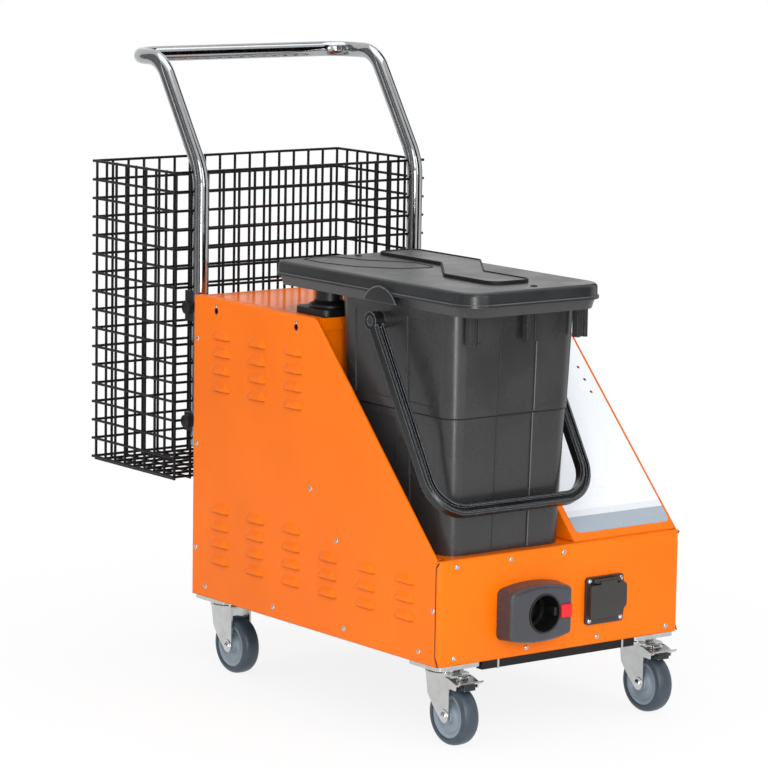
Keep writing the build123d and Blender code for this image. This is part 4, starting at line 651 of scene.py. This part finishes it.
class MACHINE_OT_seams(bpy.types.Operator):
    """Painted shade in the front corner seams, the fold under the console and the screws in the keyholes"""
    bl_idname = "machine.seams"
    bl_label = "Seams"

    def execute(self, context):
        low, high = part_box("front_panel")
        # Dark brown line: painted shade in the seam's gap
        seam_shade = moulded_plastic("seam_shade_paint", linear("3a1006"), 0.6)
        finish_piece("corner_seams", corner_seams(low, high), seam_shade, "machine_body",
                     sharp=60)
        bm = bmesh.new()
        ends = (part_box("console_cover")[0].x, high.x - FOLD_END * MM)
        fold = [Vector((x, low.y + FOLD_RADIUS * MM, high.z - FOLD_DROP * MM)) for x in ends]
        bent_rod(bm, fold, 0, FOLD_RADIUS * MM, 12, 1)
        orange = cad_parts["front_panel"].material_slots[0].material
        finish_piece("console_fold", bm, orange, "machine_body", sharp=60)
        # Screw ends that hold the panel from behind, each in the slot of a keyhole
        bm = bmesh.new()
        for x, outward in ((low.x, -1), (high.x, 1)):
            for y in KEYHOLES:
                turn(bm, KEYHOLE_SCREW, Vector((x, at(0, y, 0).y, KEYHOLE_Z * MM)), (outward, 0, 0), 16)
        bright = bright_metal("keyhole_screw_steel", context.scene.machine_colours.bright, 0.2, 3)
        finish_piece("keyhole_screws", bm, bright, "machine_body", sharp=50)
        return {"FINISHED"}


class MACHINE_OT_rivets(bpy.types.Operator):
    """Domed blind rivets over the heads on the panels"""
    bl_idname = "machine.rivets"
    bl_label = "Rivets"

    def execute(self, context):
        steel = bright_metal("rivet_aluminium", context.scene.machine_colours.bright, 0.26, 4)
        finish_piece("blind_rivets", turned_heads("panel_rivets", RIVET, 16), steel, "machine_body",
                     ("panel_rivets",), sharp=50)
        return {"FINISHED"}


class MACHINE_OT_console(bpy.types.Operator):
    """Film, lamps and board of the console"""
    bl_idname = "machine.console"
    bl_label = "Console"

    def execute(self, context):
        colours = context.scene.machine_colours
        dress(console_film("console_vinyl_film", colours.film, colours.film_band), "console_label")
        dress(circuit_board("circuit_board"), "control_board")
        label_low, label_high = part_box("console_label")
        size = label_high - label_low
        outward = Vector((1, 0, 0)).cross(Vector((0, size.y, size.z)).normalized())
        bm = bmesh.new()
        for low, high in solids_of("indicator_lamps"):
            turn(bm, LENS, (low + high) / 2, outward, 20)
        lens = moulded_plastic("lamp_lens_acrylic", colours.lens, 0.15, grain=2)
        finish_piece("lamp_lenses", bm, lens, "machine_body", ("indicator_lamps",), sharp=60)
        return {"FINISHED"}


def bucket_half(z, inset):
    """Half the width and half the length of the bucket's wall at a height, in millimetres."""
    rise = (z - FOOT_Z) / (RIM_Z - FOOT_Z)
    return [(foot + rise * (top - foot)) / 2 - inset for foot, top in zip(BUCKET_FOOT, BUCKET_TOP)]


def step_line():
    """A loop round the lower wall of the bucket, just under its step, that paints the step's shadow."""
    bm = bmesh.new()
    x, y = BUCKET_MIDDLE
    half_width, half_length = bucket_half(STEP_Z, BUCKET_STEP)
    left, right = x - half_width, x + half_width
    front, back = y - half_length, y + half_length
    loop = ((x, back), (left, back), (left, front), (right, front), (right, back), (x, back))
    line = [at(*point, STEP_Z - STEP_SHADOW_LINE) for point in loop]
    bent_rod(bm, line, STEP_CORNER * MM, STEP_SHADOW_LINE * MM, LINE_SIDES, 8, closed=True)
    return bm


def channel_line(across):
    """A line up the front wall of the bucket, above and below its step, for the painted shade or painted
    highlight on one edge of the channel.
    """
    bm = bmesh.new()
    for low, high, inset in ((FOOT_Z, STEP_Z, BUCKET_STEP), (STEP_Z, RIM_Z, 0)):
        heights = (low + CHANNEL_LINE_END, high - CHANNEL_LINE_END)
        ends = [at(across, BUCKET_MIDDLE[1] - bucket_half(z, inset)[1], z) for z in heights]
        bent_rod(bm, ends, 0, CHANNEL_LINE_RADIUS * MM, LINE_SIDES, 1)
    return bm


class MACHINE_OT_bucket(bpy.types.Operator):
    """Moulded bucket with rounded edges, a line of painted shadow under its step, and lines of painted shade
    and highlight on the channel up its front
    """
    bl_idname = "machine.bucket"
    bl_label = "Bucket"

    def execute(self, context):
        colours = context.scene.machine_colours
        plastic = moulded_plastic("bucket_polypropylene", colours.bucket, 0.27, edge=1, highlight_share=1.6)
        rounded_copy("bucket_shell", "bucket", plastic, "bucket_body",
                     context.scene.machine_sizes.moulded_edge)
        # Near-black: painted shadow under the step
        shadow_black = moulded_plastic("step_shadow_paint", colours.shadow_black, 0.55)
        finish_piece("bucket_step_shadow", step_line(), shadow_black, "bucket_body", sharp=60)
        # One edge of the channel gets a line of painted shade, the other a line of painted highlight
        shaded = moulded_plastic("channel_shade_polypropylene", shade(colours.bucket, 0.45), 0.45)
        painted_highlight = moulded_plastic("channel_highlight_paint", colours.highlight_grey, 0.3)
        edges = (("channel_shade", shaded), ("channel_highlight", painted_highlight))
        for across, (name, material) in zip(CHANNEL_SIDES, edges):
            finish_piece(name, channel_line(across), material, "bucket_body", sharp=60)
        return {"FINISHED"}


def lid_bead_highlights():
    """Pale rounded rods along the lid's foot and round the edge of each ear: painted highlights."""
    bm = bmesh.new()
    left, right = LID_SIDES
    front, back = LID_ENDS
    middle_x = (left + right) / 2
    bends = (LID_BACK_CORNER, LID_FRONT_CORNER, LID_FRONT_CORNER, LID_BACK_CORNER)
    loop = ((middle_x, back), (left, back), (left, front), (right, front), (right, back), (middle_x, back))
    bent_rod(bm, [at(x, y, LID_FOOT) for x, y in loop], tuple(bend * MM for bend in bends), LINE_RADIUS * MM,
             LINE_SIDES, 8, closed=True)
    # An ear's edge runs from one foot to the other, round two corners of the polygon about it
    half = (pi - 2 * EAR_START) / 4
    reach = EAR_RADIUS / cos(half)
    turns = ((EAR_START, EAR_RADIUS), (EAR_START + half, reach), (EAR_START + 3 * half, reach),
             (pi - EAR_START, EAR_RADIUS))
    for x in (left - EAR_PROUD, right + EAR_PROUD):
        edge = [at(x, EAR_Y + far * cos(angle), EAR_Z + far * sin(angle)) for angle, far in turns]
        bent_rod(bm, edge, EAR_RADIUS * MM, LINE_RADIUS * MM, LINE_SIDES, 10)
    return bm


def lowest(face):
    """Height of a face's lowest corner."""
    return min(vert.co.z for vert in face.verts)


def relief_shadow_rim(top):
    """A raised rim along the edge of the lid's relief, near-black as painted shadow."""
    bm = merged_copy("bucket_lid")
    others = [face for face in bm.faces if lowest(face) < top - LEVEL_SLACK * MM]
    bmesh.ops.delete(bm, geom=others, context="FACES")
    fields = bm.faces[:]
    bmesh.ops.inset_region(bm, faces=fields, thickness=RELIEF_RIM * MM, use_boundary=True,
                           use_even_offset=True)
    bmesh.ops.delete(bm, geom=fields, context="FACES")
    raised = bmesh.ops.extrude_face_region(bm, geom=bm.faces[:])["geom"]
    bmesh.ops.translate(bm, vec=(0, 0, RELIEF_RIM_RISE * MM), verts=only(BMVert, raised))
    return bm


def relief_shadow_wall(top, field):
    """The upright edge of the lid's relief, thickened, near-black as painted shade."""
    bm = merged_copy("bucket_lid")
    others = [face for face in bm.faces
              if abs(lowest(face) - field) >= LEVEL_SLACK * MM
              or max(vert.co.z for vert in face.verts) <= top - LEVEL_SLACK * MM]
    bmesh.ops.delete(bm, geom=others, context="FACES")
    bmesh.ops.solidify(bm, geom=bm.faces[:], thickness=-RELIEF_SHADOW_THICKNESS * MM)
    return bm


def leaf_shadow_outline(field):
    """Outline of a leaf-shaped field beside the relief, a near-black line of painted shadow."""
    bm = bmesh.new()
    outline = [Vector((at(x, y, 0).x, at(x, y, 0).y, field)) for x, y in LEAF]
    bent_rod(bm, outline, LEAF_BEND * MM, LINE_RADIUS * MM, LINE_SIDES, 4)
    return bm


class MACHINE_OT_lid(bpy.types.Operator):
    """Lid with its beads and relief, lines of painted highlight on the bead and ears, lines of painted shadow
    round the relief and leaf field, and two screws
    """
    bl_idname = "machine.lid"
    bl_label = "Lid"

    def execute(self, context):
        colours = context.scene.machine_colours
        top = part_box("bucket_lid")[1].z
        field = top - RELIEF_RISE * MM
        plastic = moulded_plastic("lid_polypropylene", colours.lid, 0.33, edge=2, highlight_share=3.5)
        rounded_copy("lid_shell", "bucket_lid", plastic, "lid_body",
                     context.scene.machine_sizes.moulded_edge)
        # Near-black: painted shadow along the relief and round the leaf field
        shadow = moulded_plastic("relief_shadow_paint", colours.shadow_black, 0.55)
        rim = finish_piece("relief_shadow_rim", relief_shadow_rim(top), shadow, "lid_body")
        round_edges(rim, THIN_EDGE * MM)
        # Pale lines painted as highlights on the foot's bead and the ears' edges
        pale_highlight = moulded_plastic("lid_highlight_paint", colours.highlight_grey, 0.3)
        finish_piece("lid_highlight_lines", lid_bead_highlights(), pale_highlight, "lid_body", sharp=60)
        finish_piece("relief_shadow_wall", relief_shadow_wall(top, field), shadow, "lid_body")
        finish_piece("leaf_shadow_outline", leaf_shadow_outline(field), shadow, "lid_body", sharp=60)
        steel = bright_metal("blackened_steel", linear("2c2c2e"), 0.4, 3)
        screws = turned_heads("lid_screws", LID_SCREW, 24, Vector((0, 0, 1)))
        finish_piece("lid_button_screws", screws, steel, "lid_body", ("lid_screws",),
                     sharp=50)
        return {"FINISHED"}


class MACHINE_OT_bail(bpy.types.Operator):
    """Grooved bail of the bucket"""
    bl_idname = "machine.bail"
    bl_label = "Bail"

    def execute(self, context):
        # The bail is nearly black, so the highlight painted along its thin edges needs a large share to show
        # pale
        plastic = moulded_plastic("bail_polypropylene", context.scene.machine_colours.bail, 0.24, edge=1.3,
                                  highlight_share=60)
        rounded_copy("bail_moulding", "bail_handle", plastic, "bail_body",
                     THIN_EDGE * MM)
        return {"FINISHED"}


class MACHINE_OT_suction_duct(bpy.types.Operator):
    """Suction flange, neck and collar on the rear deck"""
    bl_idname = "machine.suction_duct"
    bl_label = "Suction duct"

    def execute(self, context):
        sizes = context.scene.machine_sizes
        plastic = moulded_plastic("duct_polypropylene", context.scene.machine_colours.bail, 0.4)
        rounded_copy("duct_flange_moulding", "duct_flange", plastic, "machine_body",
                     sizes.moulded_edge)
        dress(plastic, "suction_neck")
        neck_low, neck_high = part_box("suction_neck")
        neck = (neck_high.x - neck_low.x) / 2 / MM
        reach = sizes.collar_radius / MM
        foot = middle("suction_neck")
        foot.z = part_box("duct_flange")[1].z
        bm = bmesh.new()
        profile = ((neck, 0), (reach, 0), (reach, 3), (reach - 1, 4.5), (neck + 3, 6), (neck + 1, 9),
                   (neck, 9))
        turn(bm, profile, foot, (0, 0, 1), 40)
        finish_piece("neck_collar", bm, plastic, "machine_body", sharp=50)
        return {"FINISHED"}


class MACHINE_OT_steam_socket(bpy.types.Operator):
    """Steam socket with its liner, latch tongue and red button"""
    bl_idname = "machine.steam_socket"
    bl_label = "Steam socket"

    def execute(self, context):
        colours = context.scene.machine_colours
        grey = moulded_plastic("socket_abs", colours.socket, 0.28)
        rounded_copy("socket_moulding_shell", "steam_socket_housing", grey, "machine_body",
                     context.scene.machine_sizes.moulded_edge)
        black = moulded_plastic("liner_nylon", colours.liner, 0.5)
        dress(black, "steam_socket_liner")
        low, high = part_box("steam_socket_liner")
        centre = (low + high) / 2
        bore_side = centre.x + (high.x - low.x) / 2 - LINER_WALL * MM
        near, far = TONGUE_REACH
        bm = bmesh.new()
        tongue_low = Vector((bore_side - TONGUE * MM, low.y + near * MM, centre.z - TONGUE_HALF * MM))
        tongue_high = Vector((bore_side - TONGUE_GAP * MM, low.y + far * MM, centre.z + TONGUE_HALF * MM))
        block(bm, tongue_low, tongue_high, TONGUE_EDGE)
        finish_piece("latch_tongue", bm, black, "machine_body")
        red = moulded_plastic("button_abs", colours.button, 0.25)
        rounded_copy("button_cap", "release_button", red, "button_body", 1.6 * MM, segments=3)
        return {"FINISHED"}


class MACHINE_OT_power_outlet(bpy.types.Operator):
    """Power outlet with its flap, hinge pin and screws"""
    bl_idname = "machine.power_outlet"
    bl_label = "Power outlet"

    def execute(self, context):
        colours = context.scene.machine_colours
        plastic = moulded_plastic("outlet_abs", colours.outlet, 0.3)
        rounded_copy("outlet_box", "power_outlet", plastic, "machine_body", 0.7 * MM)
        rounded_copy("outlet_lid", "outlet_flap", plastic, "flap_body", 1.6 * MM,
                     segments=3)
        bright = bright_metal("screw_steel", colours.bright, 0.2, 3)
        dress(bright, "flap_hinge_pin")
        screws = turned_heads("outlet_screws", OUTLET_SCREW, 20, Vector((0, -1, 0)))
        finish_piece("outlet_pan_screws", screws, bright, "machine_body", ("outlet_screws",),
                     sharp=50)
        return {"FINISHED"}


class MACHINE_OT_push_handle(bpy.types.Operator):
    """Bent push handle with end plugs and bolts"""
    bl_idname = "machine.push_handle"
    bl_label = "Push handle"

    def execute(self, context):
        colours = context.scene.machine_colours
        sizes = context.scene.machine_sizes
        radius = sizes.tube_radius
        low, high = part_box("handle_tube")
        leg_y = low.y + radius
        top_z = high.z - radius
        line = ((leg_y, low.z), (leg_y, low.z + HANDLE_BEND_RISE * MM),
                (leg_y + HANDLE_SLOPE_RUN * MM, top_z), (high.y - radius, top_z))
        right = [Vector((high.x - radius, y, z)) for y, z in line]
        left = [Vector((low.x + radius, y, z)) for y, z in reversed(line)]
        bends = tuple(bend * MM for bend in HANDLE_BENDS + HANDLE_BENDS[::-1])
        bm = bmesh.new()
        bent_rod(bm, right + left, bends, radius, sizes.tube_sides, 10)
        steel = bright_metal("polished_stainless_tube", colours.steel, 0.07, 9)
        finish_piece("bent_tube", bm, steel, "machine_body", ("handle_tube",), sharp=60)
        bm = bmesh.new()
        reach = radius / MM
        plug = ((0, -3), (reach - 3, -3), (reach - 1, -2.2), (reach, -1), (reach, 0), (0, 0))
        for x in (low.x + radius, high.x - radius):
            turn(bm, plug, Vector((x, leg_y, low.z)), (0, 0, 1), 32)
        nylon = moulded_plastic("plug_nylon", colours.nylon, 0.45)
        finish_piece("tube_end_plugs", bm, nylon, "machine_body", sharp=50)
        dress(bright_metal("zinc_plated_bolts", colours.zinc, 0.35, 3), "handle_bolts")
        return {"FINISHED"}


def spaced(low, high, spaces):
    """Evenly spaced values from low to high, both included."""
    return [low + (high - low) * step / spaces for step in range(spaces + 1)]


def basket_bars(low, high):
    """Ends of the basket's bars: hoops outside, uprights inside them, and a crossed floor."""
    bar = SQUARE_BAR * MM
    rim_low = low + Vector((bar / 2, bar / 2, 1.5 * bar))
    rim_high = high - Vector((bar / 2, bar / 2, bar / 2))
    frame_low = low + Vector((1.5 * bar, 1.5 * bar, bar / 2))
    frame_high = high - Vector((1.5 * bar, 1.5 * bar, 0))
    floor_z = frame_low.z
    bars = []
    for z in spaced(rim_low.z, rim_high.z, BASKET_HIGH):
        bars += [((low.x, y, z), (high.x, y, z)) for y in (rim_low.y, rim_high.y)]
        bars += [((x, rim_low.y, z), (x, rim_high.y, z)) for x in (rim_low.x, rim_high.x)]
    for x in spaced(frame_low.x, frame_high.x, BASKET_WIDE):
        bars += [((x, y, low.z), (x, y, high.z)) for y in (frame_low.y, frame_high.y)]
        bars.append(((x, frame_low.y, floor_z), (x, frame_high.y, floor_z)))
    for y in spaced(frame_low.y, frame_high.y, BASKET_DEEP)[1:-1]:
        bars += [((x, y, low.z), (x, y, high.z)) for x in (frame_low.x, frame_high.x)]
        bars.append(((frame_low.x, y, floor_z + bar), (frame_high.x, y, floor_z + bar)))
    return bars


class MACHINE_OT_wire_basket(bpy.types.Operator):
    """Welded basket of round wire, and the clips that carry it"""
    bl_idname = "machine.wire_basket"
    bl_label = "Wire basket"

    def execute(self, context):
        colours = context.scene.machine_colours
        sizes = context.scene.machine_sizes
        bm = bmesh.new()
        for ends in basket_bars(*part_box("wire_basket")):
            bent_rod(bm, [Vector(end) for end in ends], 0, sizes.wire_radius, sizes.wire_sides, 1)
        black = powder_coat("dipped_basket_wire", colours.wire, 0.4, 0.5)
        finish_piece("round_wire_basket", bm, black, "basket_body", ("wire_basket",), sharp=60)
        nylon = moulded_plastic("clip_nylon", colours.nylon, 0.42)
        rounded_copy("clip_mouldings", "basket_clips", nylon, "machine_body", 0.8 * MM)
        return {"FINISHED"}


def curl_blades(bm, axle):
    """Curls the back part of a fork's blades inwards, as the pressed sheet turns towards its crown."""
    crease = axle.y + CURL_START * MM
    back = CURL_LENGTH * MM
    crown = max(vert.co.z for vert in bm.verts) - CROWN * MM
    for step in range(CURL_STEPS):
        bmesh.ops.bisect_plane(bm, geom=bm.verts[:] + bm.edges[:] + bm.faces[:],
                               plane_co=(0, crease + back * step / CURL_STEPS, 0), plane_no=(0, 1, 0))
    for vert in bm.verts:
        if vert.co.y > crease and vert.co.z < crown:
            share = 1 - CURL_SHARE * ((vert.co.y - crease) / back) ** 1.5
            vert.co.x = axle.x + (vert.co.x - axle.x) * share


def axle_bolt(corner, centre):
    """A caster's axle with a domed nut at each end."""
    bm = bmesh.new()
    low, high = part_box(corner + "_axle")
    ends = [Vector((x, centre.y, centre.z)) for x in (low.x + NUT_INSET * MM, high.x - NUT_INSET * MM)]
    turn(bm, NUT, ends[0], (-1, 0, 0), 24)
    turn(bm, NUT, ends[1], (1, 0, 0), 24)
    bent_rod(bm, ends, 0, AXLE_RADIUS * MM, 20, 1)
    return bm


class MACHINE_OT_casters(bpy.types.Operator):
    """Swivel casters with turned wheels, pressed forks and brake pedals"""
    bl_idname = "machine.casters"
    bl_label = "Casters"

    def execute(self, context):
        colours = context.scene.machine_colours
        edge = context.scene.machine_sizes.pressed_edge
        zinc = zinc_plate("zinc_plated_steel", colours.zinc)
        grey = rubber("grey_tyre_rubber", colours.tyre)
        hub_plastic = moulded_plastic("hub_polyamide", colours.wheel, 0.4)
        bolt = bright_metal("axle_zinc", colours.bright, 0.16, 3)
        dress(zinc, "caster_plates")
        wheel_parts = (("tyre", TYRE_HALF, grey, "tyre_rubber"),
                       ("hub", HUB_HALF, hub_plastic, "hub_plastic"))
        for corner in CORNERS:
            centre = middle(corner + "_tyre")
            for part, half, material, slot in wheel_parts:
                bm = bmesh.new()
                ring = half + tuple((reach, -out) for reach, out in reversed(half))
                turn(bm, ring + half[:1], centre, (1, 0, 0), 64)
                finish_piece(corner + "_turned_" + part, bm, material, corner + "_wheel",
                             (corner + "_" + part,), sharp=40)
            bm = merged_copy(corner + "_fork")
            curl_blades(bm, centre)
            fork = finish_piece(corner + "_pressed_fork", bm, zinc, corner + "_caster", (corner + "_fork",),
                                outward=False)
            round_edges(fork, edge)
            finish_piece(corner + "_axle_bolt", axle_bolt(corner, centre), bolt, corner + "_caster",
                         (corner + "_axle",), sharp=50)
        # Shoe under each pedal, near-black both as its rubber and as painted shade under the pedal, and the
        # tab that lets it go
        black = rubber("brake_shoe_rubber_and_shade", colours.nylon)
        brake_parts = (("_brake_shoe", black, "tyre_rubber", BRAKE_SHOE),
                       ("_release_tab", bolt, "pedal_zinc", RELEASE_TAB))
        for corner in CORNERS[:2]:
            brake = corner + "_brake"
            centre = middle(corner + "_tyre")
            rounded_copy(corner + "_pressed_pedal", corner + "_pedal", zinc, brake, edge)
            for name, material, slot, (low, high) in brake_parts:
                bm = bmesh.new()
                block(bm, centre + Vector(low) * MM, centre + Vector(high) * MM, BRAKE_EDGE)
                finish_piece(corner + name, bm, material, brake)
        return {"FINISHED"}


class MACHINE_OT_inside(bpy.types.Operator):
    """Finishes of the pieces inside the body and the cable gland"""
    bl_idname = "machine.inside"
    bl_label = "Inside pieces"

    def execute(self, context):
        nylon = context.scene.machine_colours.nylon
        dress(drawn_steel("drawn_stainless_steel", linear("c4c5c6")), "boiler", "boiler_heater")
        dress(bright_metal("machined_brass", linear("b8934a"), 0.28, 3), "safety_valve", "steam_valve")
        dress(braided_hose("braided_hose"), "steam_pipe")
        dress(moulded_plastic("natural_polyethylene", linear("d8d7ce"), 0.5, grain=2.5), "water_tank")
        dress(moulded_plastic("pump_nylon", linear("2b2b2c"), 0.5), "feed_pump")
        dress(zinc_plate("cast_aluminium", linear("a5a6a8")), "vacuum_motor")
        dress(moulded_plastic("gland_nylon", nylon, 0.45), "cable_gland")
        return {"FINISHED"}


# Stage, in metres


def seen_rays(owner):
    """1 for rays that show the background: from the camera, off gloss and through glass."""
    total = add_node(owner, "ShaderNodeLightPath", {}, output="Is Camera Ray")
    rays = total.node.outputs
    for name in ("Is Glossy Ray", "Is Transmission Ray"):
        total = add_node(owner, "ShaderNodeMath", {0: total, 1: rays[name]}, operation="MAXIMUM")
    return total


def matt_paint(name, hex_colour):
    """Paint without gloss, with its shader and the Object coordinates."""
    material, shader, place = start_material(name)
    fill(material, shader, {"Base Color": linear(hex_colour), "Roughness": 0.9, "Specular IOR Level": 0.0})
    return material, shader, place


def flat_sheet(name, matrix, material):
    """A flat sheet of two by two metres, put in its place by a matrix."""
    bm = bmesh.new()
    bmesh.ops.create_grid(bm, x_segments=1, y_segments=1, size=1, matrix=matrix)
    return new_object(name, bm, material)


def lay_floor():
    """A plain white floor that keeps the shadow."""
    material, shader, place = matt_paint("matt_white_floor", "f4f4f4")
    # Pure white away from the machine, and partly so round it, where the shadow falls
    nearness = add_node(material, "ShaderNodeTexGradient", {"Vector": place}, gradient_type="SPHERICAL")
    white = add_node(material, "ShaderNodeMapRange", {"Value": nearness, "From Max": 0.7, "To Min": 1.0,
                                                      "To Max": 0.86})
    share = add_node(material, "ShaderNodeMath", {0: white, 1: seen_rays(material)}, operation="MULTIPLY")
    glow = add_node(material, "ShaderNodeEmission", {})
    mix = add_node(material, "ShaderNodeMixShader", {0: share, 1: shader.outputs[0], 2: glow})
    fill(material, material.node_tree.nodes["Material Output"], {"Surface": mix})
    floor = flat_sheet("floor", Matrix.Diagonal((60, 60, 1, 1)), material)


def stand_cards():
    """Tall cards seen only in reflections, for the dark and light bands on the tube and the mouldings."""
    distance, height, half_height = 2.3, 1.9, 2.2
    # Bearing round the machine in degrees, half width and colour
    cards = (("front_card", 302, 0.6, "101010"), ("far_card", 16, 0.5, "303030"),
             ("left_card", 217, 0.6, "9a9a9a"), ("side_card", 182, 0.7, "8a8a8a"),
             ("back_card", 140, 0.9, "8a8a8a"))
    for name, bearing, half_width, colour in cards:
        outward = Vector((cos(radians(bearing)), sin(radians(bearing)), 0))
        facing = outward.to_track_quat("Z", "Y").to_matrix().to_4x4()
        place = Matrix.Translation(outward * distance + Vector((0, 0, height))) @ facing
        size = Matrix.Diagonal((half_width, half_height, 1, 1))
        card = flat_sheet(name, place @ size, matt_paint(name, colour)[0])
        card.visible_camera = False
        card.visible_diffuse = False
        card.visible_shadow = False
        card.visible_transmission = False


def light_studio(scene):
    """White surroundings, four large soft lamps and a low strip."""
    scene.view_settings.view_transform = "Standard"
    world = bpy.data.worlds.new("white_room")
    world.use_nodes = True
    scene.world = world
    # Rays that only light the machine get less
    strength = add_node(world, "ShaderNodeMapRange", {"Value": seen_rays(world), "To Min": 0.62,
                                                      "To Max": 1.0})
    fill(world, world.node_tree.nodes["Background"], {"Color": (1, 1, 1, 1), "Strength": strength})
    aim = Vector((0, 0, 0.4))
    # Place, width, height and power of each; the strip stands low, to draw a bright line down rounded corners
    lamps = (("key", (-2.0, -2.8, 2.4), 2.2, 2.2, 39), ("side", (-3.0, 0.9, 1.6), 2.0, 2.0, 15),
             ("front", (0.9, -3.2, 1.6), 2.0, 2.0, 22), ("top", (0.4, 0.2, 3.2), 2.4, 2.4, 28),
             ("strip", (-1.1, -1.7, 0.4), 0.22, 0.9, 11))
    for name, place, width, height, power in lamps:
        lamp = bpy.data.lights.new(name + "_softbox", "AREA")
        lamp.shape = "RECTANGLE"
        lamp.size = width
        lamp.size_y = height
        lamp.energy = power
        holder = bpy.data.objects.new(name + "_softbox", lamp)
        holder.visible_camera = False
        holder.location = place
        holder.rotation_euler = (aim - Vector(place)).to_track_quat("-Z", "Y").to_euler()
        scene.collection.objects.link(holder)


def set_camera(scene):
    """The camera at the photograph's viewing angle, with a long lens."""
    yaw, pitch, roll = [radians(angle) for angle in CAMERA_ANGLES]
    turns = ((-yaw, "Z"), (pi / 2 + pitch, "X"), (roll, "Z"))
    facing = [Matrix.Rotation(angle, 4, axis) for angle, axis in turns]
    data = bpy.data.cameras.new("view")
    data.lens = CAMERA_LENS
    data.clip_end = 200
    camera = bpy.data.objects.new("view", data)
    camera.matrix_world = Matrix.Translation(at(*CAMERA_PLACE)) @ facing[0] @ facing[1] @ facing[2]
    scene.collection.objects.link(camera)
    scene.camera = camera


class MACHINE_OT_stage(bpy.types.Operator):
    """Floor, light and camera"""
    bl_idname = "machine.stage"
    bl_label = "Stage"

    def execute(self, context):
        lay_floor()
        stand_cards()
        light_studio(context.scene)
        set_camera(context.scene)
        return {"FINISHED"}


OPERATORS = (MACHINE_OT_sheet_body, MACHINE_OT_seams, MACHINE_OT_rivets, MACHINE_OT_console,
             MACHINE_OT_bucket, MACHINE_OT_lid, MACHINE_OT_bail, MACHINE_OT_suction_duct,
             MACHINE_OT_steam_socket, MACHINE_OT_power_outlet, MACHINE_OT_push_handle,
             MACHINE_OT_wire_basket, MACHINE_OT_casters, MACHINE_OT_inside, MACHINE_OT_stage)


class MACHINE_PT_pieces(bpy.types.Panel):
    """The machine's pieces, colours and sizes"""
    bl_idname = "MACHINE_PT_pieces"
    bl_label = "Steam vacuum cleaner"
    bl_space_type = "VIEW_3D"
    bl_region_type = "UI"
    bl_category = "Machine"

    def draw(self, context):
        for operator in OPERATORS:
            self.layout.operator(operator.bl_idname)
        for group in (context.scene.machine_colours, context.scene.machine_sizes):
            for name in group.__annotations__:
                self.layout.prop(group, name)


CLASSES = (MachineColours, MachineSizes, *OPERATORS, MACHINE_PT_pieces)


def register():
    for cls in CLASSES:
        bpy.utils.register_class(cls)
    bpy.types.Scene.machine_colours = bpy.props.PointerProperty(type=MachineColours)
    bpy.types.Scene.machine_sizes = bpy.props.PointerProperty(type=MachineSizes)


def unregister():
    del bpy.types.Scene.machine_sizes
    del bpy.types.Scene.machine_colours
    for cls in reversed(CLASSES):
        bpy.utils.unregister_class(cls)


def main():
    register()
    bpy.ops.machine.sheet_body()
    bpy.ops.machine.seams()
    bpy.ops.machine.rivets()
    bpy.ops.machine.console()
    bpy.ops.machine.bucket()
    bpy.ops.machine.lid()
    bpy.ops.machine.bail()
    bpy.ops.machine.suction_duct()
    bpy.ops.machine.steam_socket()
    bpy.ops.machine.power_outlet()
    bpy.ops.machine.push_handle()
    bpy.ops.machine.wire_basket()
    bpy.ops.machine.casters()
    bpy.ops.machine.inside()
    bpy.ops.machine.stage()


if __name__ == "__main__":
    main()
